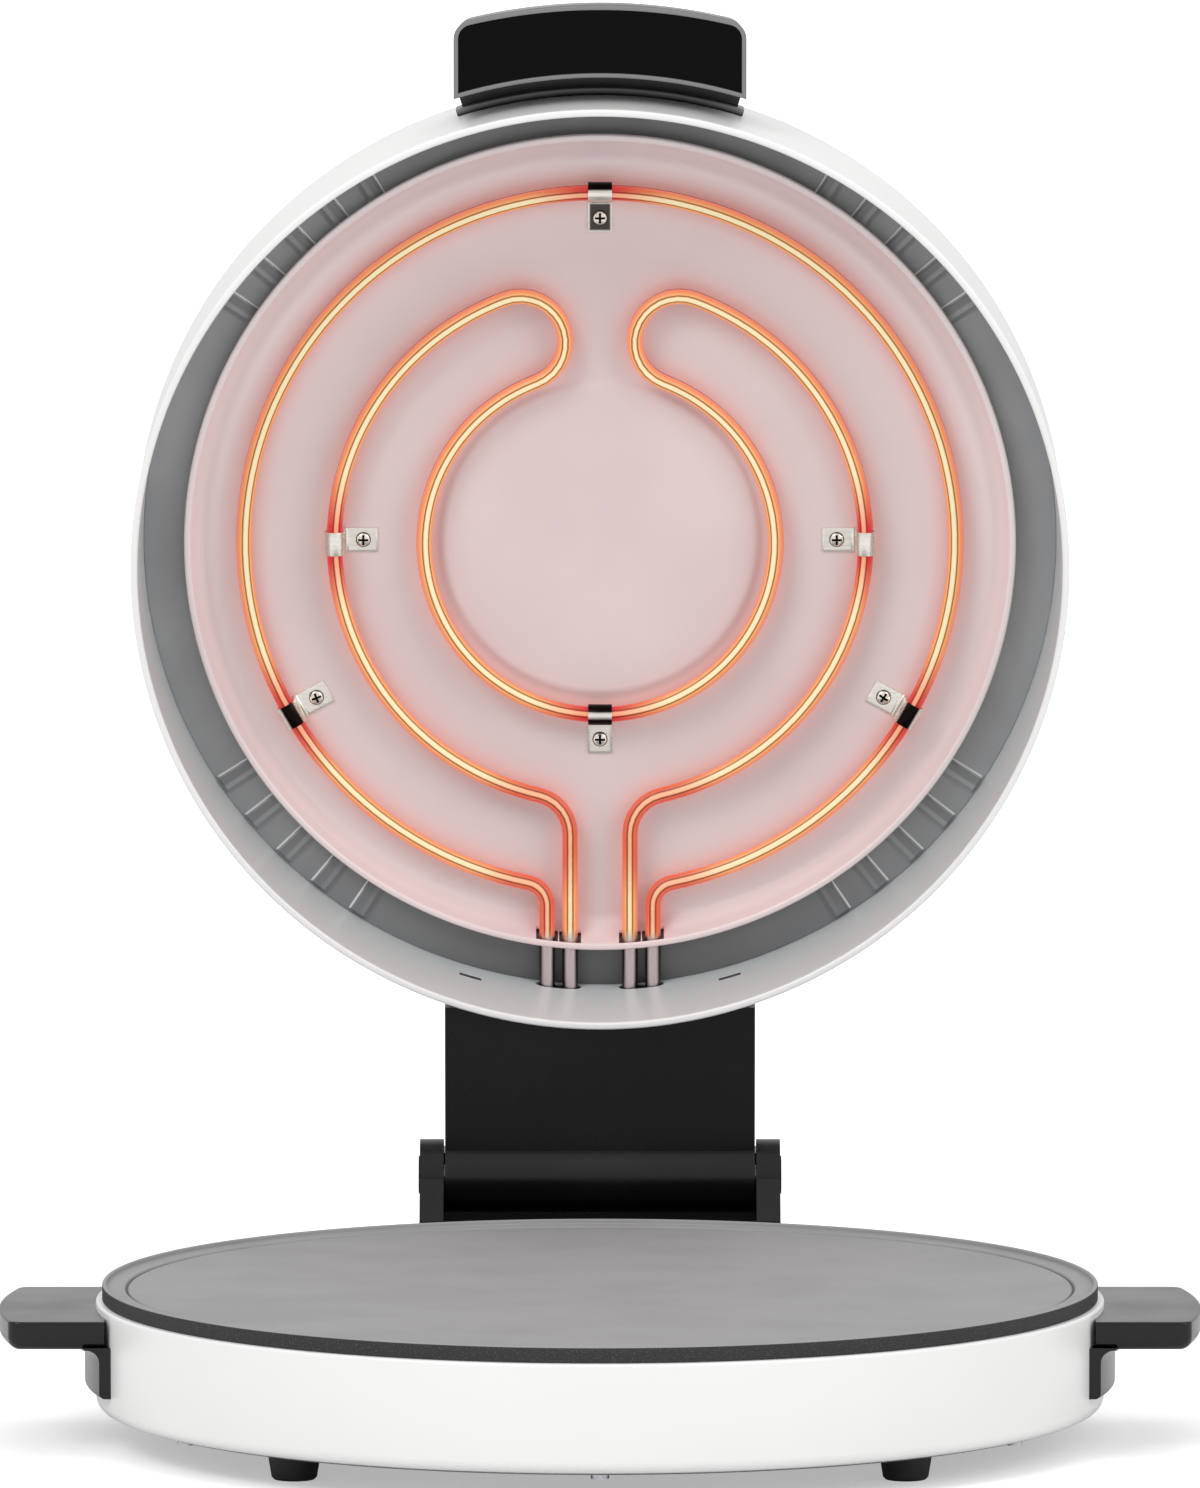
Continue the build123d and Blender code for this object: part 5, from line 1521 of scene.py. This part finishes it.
@dataclass
class HeatingSet:
    """The two tubes, their pan, their liner and the clips."""

    outer: TubeRoute = field(default_factory=lambda: TubeRoute(22.3, 10.0, 149.0))
    inner: TubeRoute = field(default_factory=lambda: TubeRoute(12.6, 17.0, 111.2, 73.6))

    def clips(self) -> list[ElementClip]:
        """Return the six clips."""
        # Bands of painted dark reflection on the straps, and shares of it on the tabs.
        low, ends = ((-2.6, 3.2),), ((-5.0, -1.6), (1.4, 5.0))
        return [ElementClip("clip_top", self.outer.ring, 90.0, -1, dark_reflections=((-5.0, -1.4),),
                            tab_reflection=0.94),
                ElementClip("clip_lower_left", self.outer.ring, 209.6, -1, dark_reflections=low),
                ElementClip("clip_lower_right", self.outer.ring, 330.4, -1, dark_reflections=low),
                ElementClip("clip_left", self.inner.ring, 180.0, -1, tab_reflection=0.14),
                ElementClip("clip_right", self.inner.ring, 0.0, -1, tab_reflection=0.14),
                ElementClip("clip_bottom", self.inner.inner_ring or 0.0, 270.0, 1,
                            dark_reflections=ends)]

    def build(self, shop: Workshop, lid: Matrix) -> None:
        """Make the set and put it in place."""
        clips = self.clips()
        RibbedLiner().build(shop, lid)
        Reflector([self.outer, self.inner]).build(shop, lid)
        HeatingTube("outer_tube", "outer_element", self.outer,
                    [clip.spot() for clip in clips[:3]]).build(shop, lid)
        HeatingTube("inner_tube", "inner_element", self.inner,
                    [clip.spot() for clip in clips[3:]]).build(shop, lid)
        for clip in clips:
            clip.build(shop, lid, "clip_screws" if clip is clips[0] else None)


@dataclass
class PackedNodes:
    """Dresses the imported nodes."""

    palette: Palette
    # The lid's inner wall gets the painted-shade copy of the white enamel.
    repainted: dict[str, Slot] = field(default_factory=lambda: {
        "element_bushes": Slot.GLAZED, "lid_inner_wall": Slot.INNER})

    def dress(self) -> None:
        """Put each node's finish on it."""
        for row in frame["record"]["subparts"]:
            node = frame["nodes"][row["node"]]
            slot = self.repainted.get(node.name, Slot(row["material_slot"]))
            node.data.materials.clear()
            node.data.materials.append(self.palette.material(slot))
            log.info("%s: packed node in %s", node.name, row["material_slot"])


@dataclass
class Studio:
    """The camera, the lamps, the floor and the white surround."""

    base_y: float
    distance: float = 5.9499
    height: float = 0.8368
    tilt: float = 5.35
    lens: float = 361.0
    shine_share: float = 0.15
    surround_level: float = 0.95
    floor_radius: float = 60.0

    def camera(self) -> None:
        """Place the camera at the photograph's viewing angle."""
        data = bpy.data.cameras.new("camera")
        data.lens = self.lens
        data.sensor_width = 36.0
        data.clip_end = 200.0
        camera = shown("camera", data)
        camera.location = (0, self.base_y - self.distance, self.height)
        camera.rotation_euler = (radians(90 - self.tilt), 0, 0)
        bpy.context.scene.camera = camera

    def lamp(self, name: str, place: Vector, target: Vector, width: float,
             level: float) -> None:
        """Hang a soft lamp.

        Args:
            name: The lamp's name.
            place: Where it hangs.
            target: Where it points.
            width: Its side length.
            level: The light it gives at its target, where 1 shows a colour as it is.
        """
        data = bpy.data.lights.new(name, "AREA")
        data.shape = "SQUARE"
        data.size = width
        data.energy = level * pi * pi * (target - place).length_squared
        lamp = shown(name, data)
        lamp.location = place
        lamp.rotation_mode = "QUATERNION"
        lamp.rotation_quaternion = (target - place).to_track_quat("-Z", "Y")

    def floor(self) -> None:
        """Lay the pale floor, white to the eye except in the oven's shadow."""
        mesh = bmesh.new()
        bmesh.ops.create_circle(mesh, cap_ends=True, segments=96, radius=self.floor_radius)
        data = bpy.data.meshes.new("floor")
        mesh.to_mesh(data)
        mesh.free()
        tree = FinishTree("floor_paint")
        rays = tree.node("ShaderNodeLightPath", out="Is Camera Ray")
        shine = tree.node("ShaderNodeLightPath", out="Is Glossy Ray")
        seen = rays.math("MAXIMUM", rays, shine * self.shine_share)
        reach = tree.node("ShaderNodeVectorMath", {"operation": "LENGTH"},
                          {0: tree.place()}, out="Value")
        level = seen * reach.band(0.3, 1.6, 0.42, 1.0)
        matte = tree.node("ShaderNodeBsdfDiffuse", None, {"Color": tone(226, 226, 226)})
        light = tree.node("ShaderNodeEmission", None, {"Strength": level})
        tree.node_output(tree.node("ShaderNodeAddShader", None, {0: matte, 1: light}))
        data.materials.append(tree.material)
        shown("floor", data)

    def surround(self) -> None:
        """Make the world a soft white tent."""
        world = bpy.data.worlds.new("tent")
        world.use_nodes = True
        bpy.context.scene.world = world
        nodes, links = world.node_tree.nodes, world.node_tree.links
        nodes.clear()
        path = nodes.new("ShaderNodeLightPath")
        level = nodes.new("ShaderNodeMapRange")
        links.new(path.outputs["Is Camera Ray"], level.inputs["Value"])
        level.inputs["To Min"].default_value = self.surround_level
        level.inputs["To Max"].default_value = 1.0
        back = nodes.new("ShaderNodeBackground")
        links.new(level.outputs[0], back.inputs["Strength"])
        output = nodes.new("ShaderNodeOutputWorld")
        links.new(back.outputs[0], output.inputs["Surface"])

    def build(self) -> None:
        """Set up the whole studio."""
        bpy.context.scene.view_settings.view_transform = "Standard"
        target = Vector((0, self.base_y, 0.2))
        self.camera()
        self.lamp("key_lamp", Vector((-2.2, -2.9, 3.4)), target, 1.8, 0.28)
        self.lamp("fill_lamp", Vector((2.8, -2.4, 2.2)), target, 2.2, 0.2)
        self.lamp("top_lamp", Vector((0.2, 0.6, 3.6)), target, 2.0, 0.14)
        self.floor()
        self.surround()


def main() -> None:
    """Build the dressed oven piece by piece."""
    logging.basicConfig(level=logging.INFO, format="%(name)s %(message)s")
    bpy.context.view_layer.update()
    layout = Layout()
    lid = layout.lid()
    palette = Palette(lid)
    shop = Workshop(palette)
    Studio(layout.base_y()).build()
    PackedNodes(palette).dress()
    BaseHousing().build(shop, layout.base())
    BakingPlate().build(shop, layout.base())
    LidDome().build(shop, lid.matrix())
    HeatingSet().build(shop, lid.matrix())
    LidHandle().build(shop, lid.matrix())


if __name__ == "__main__":
    main()
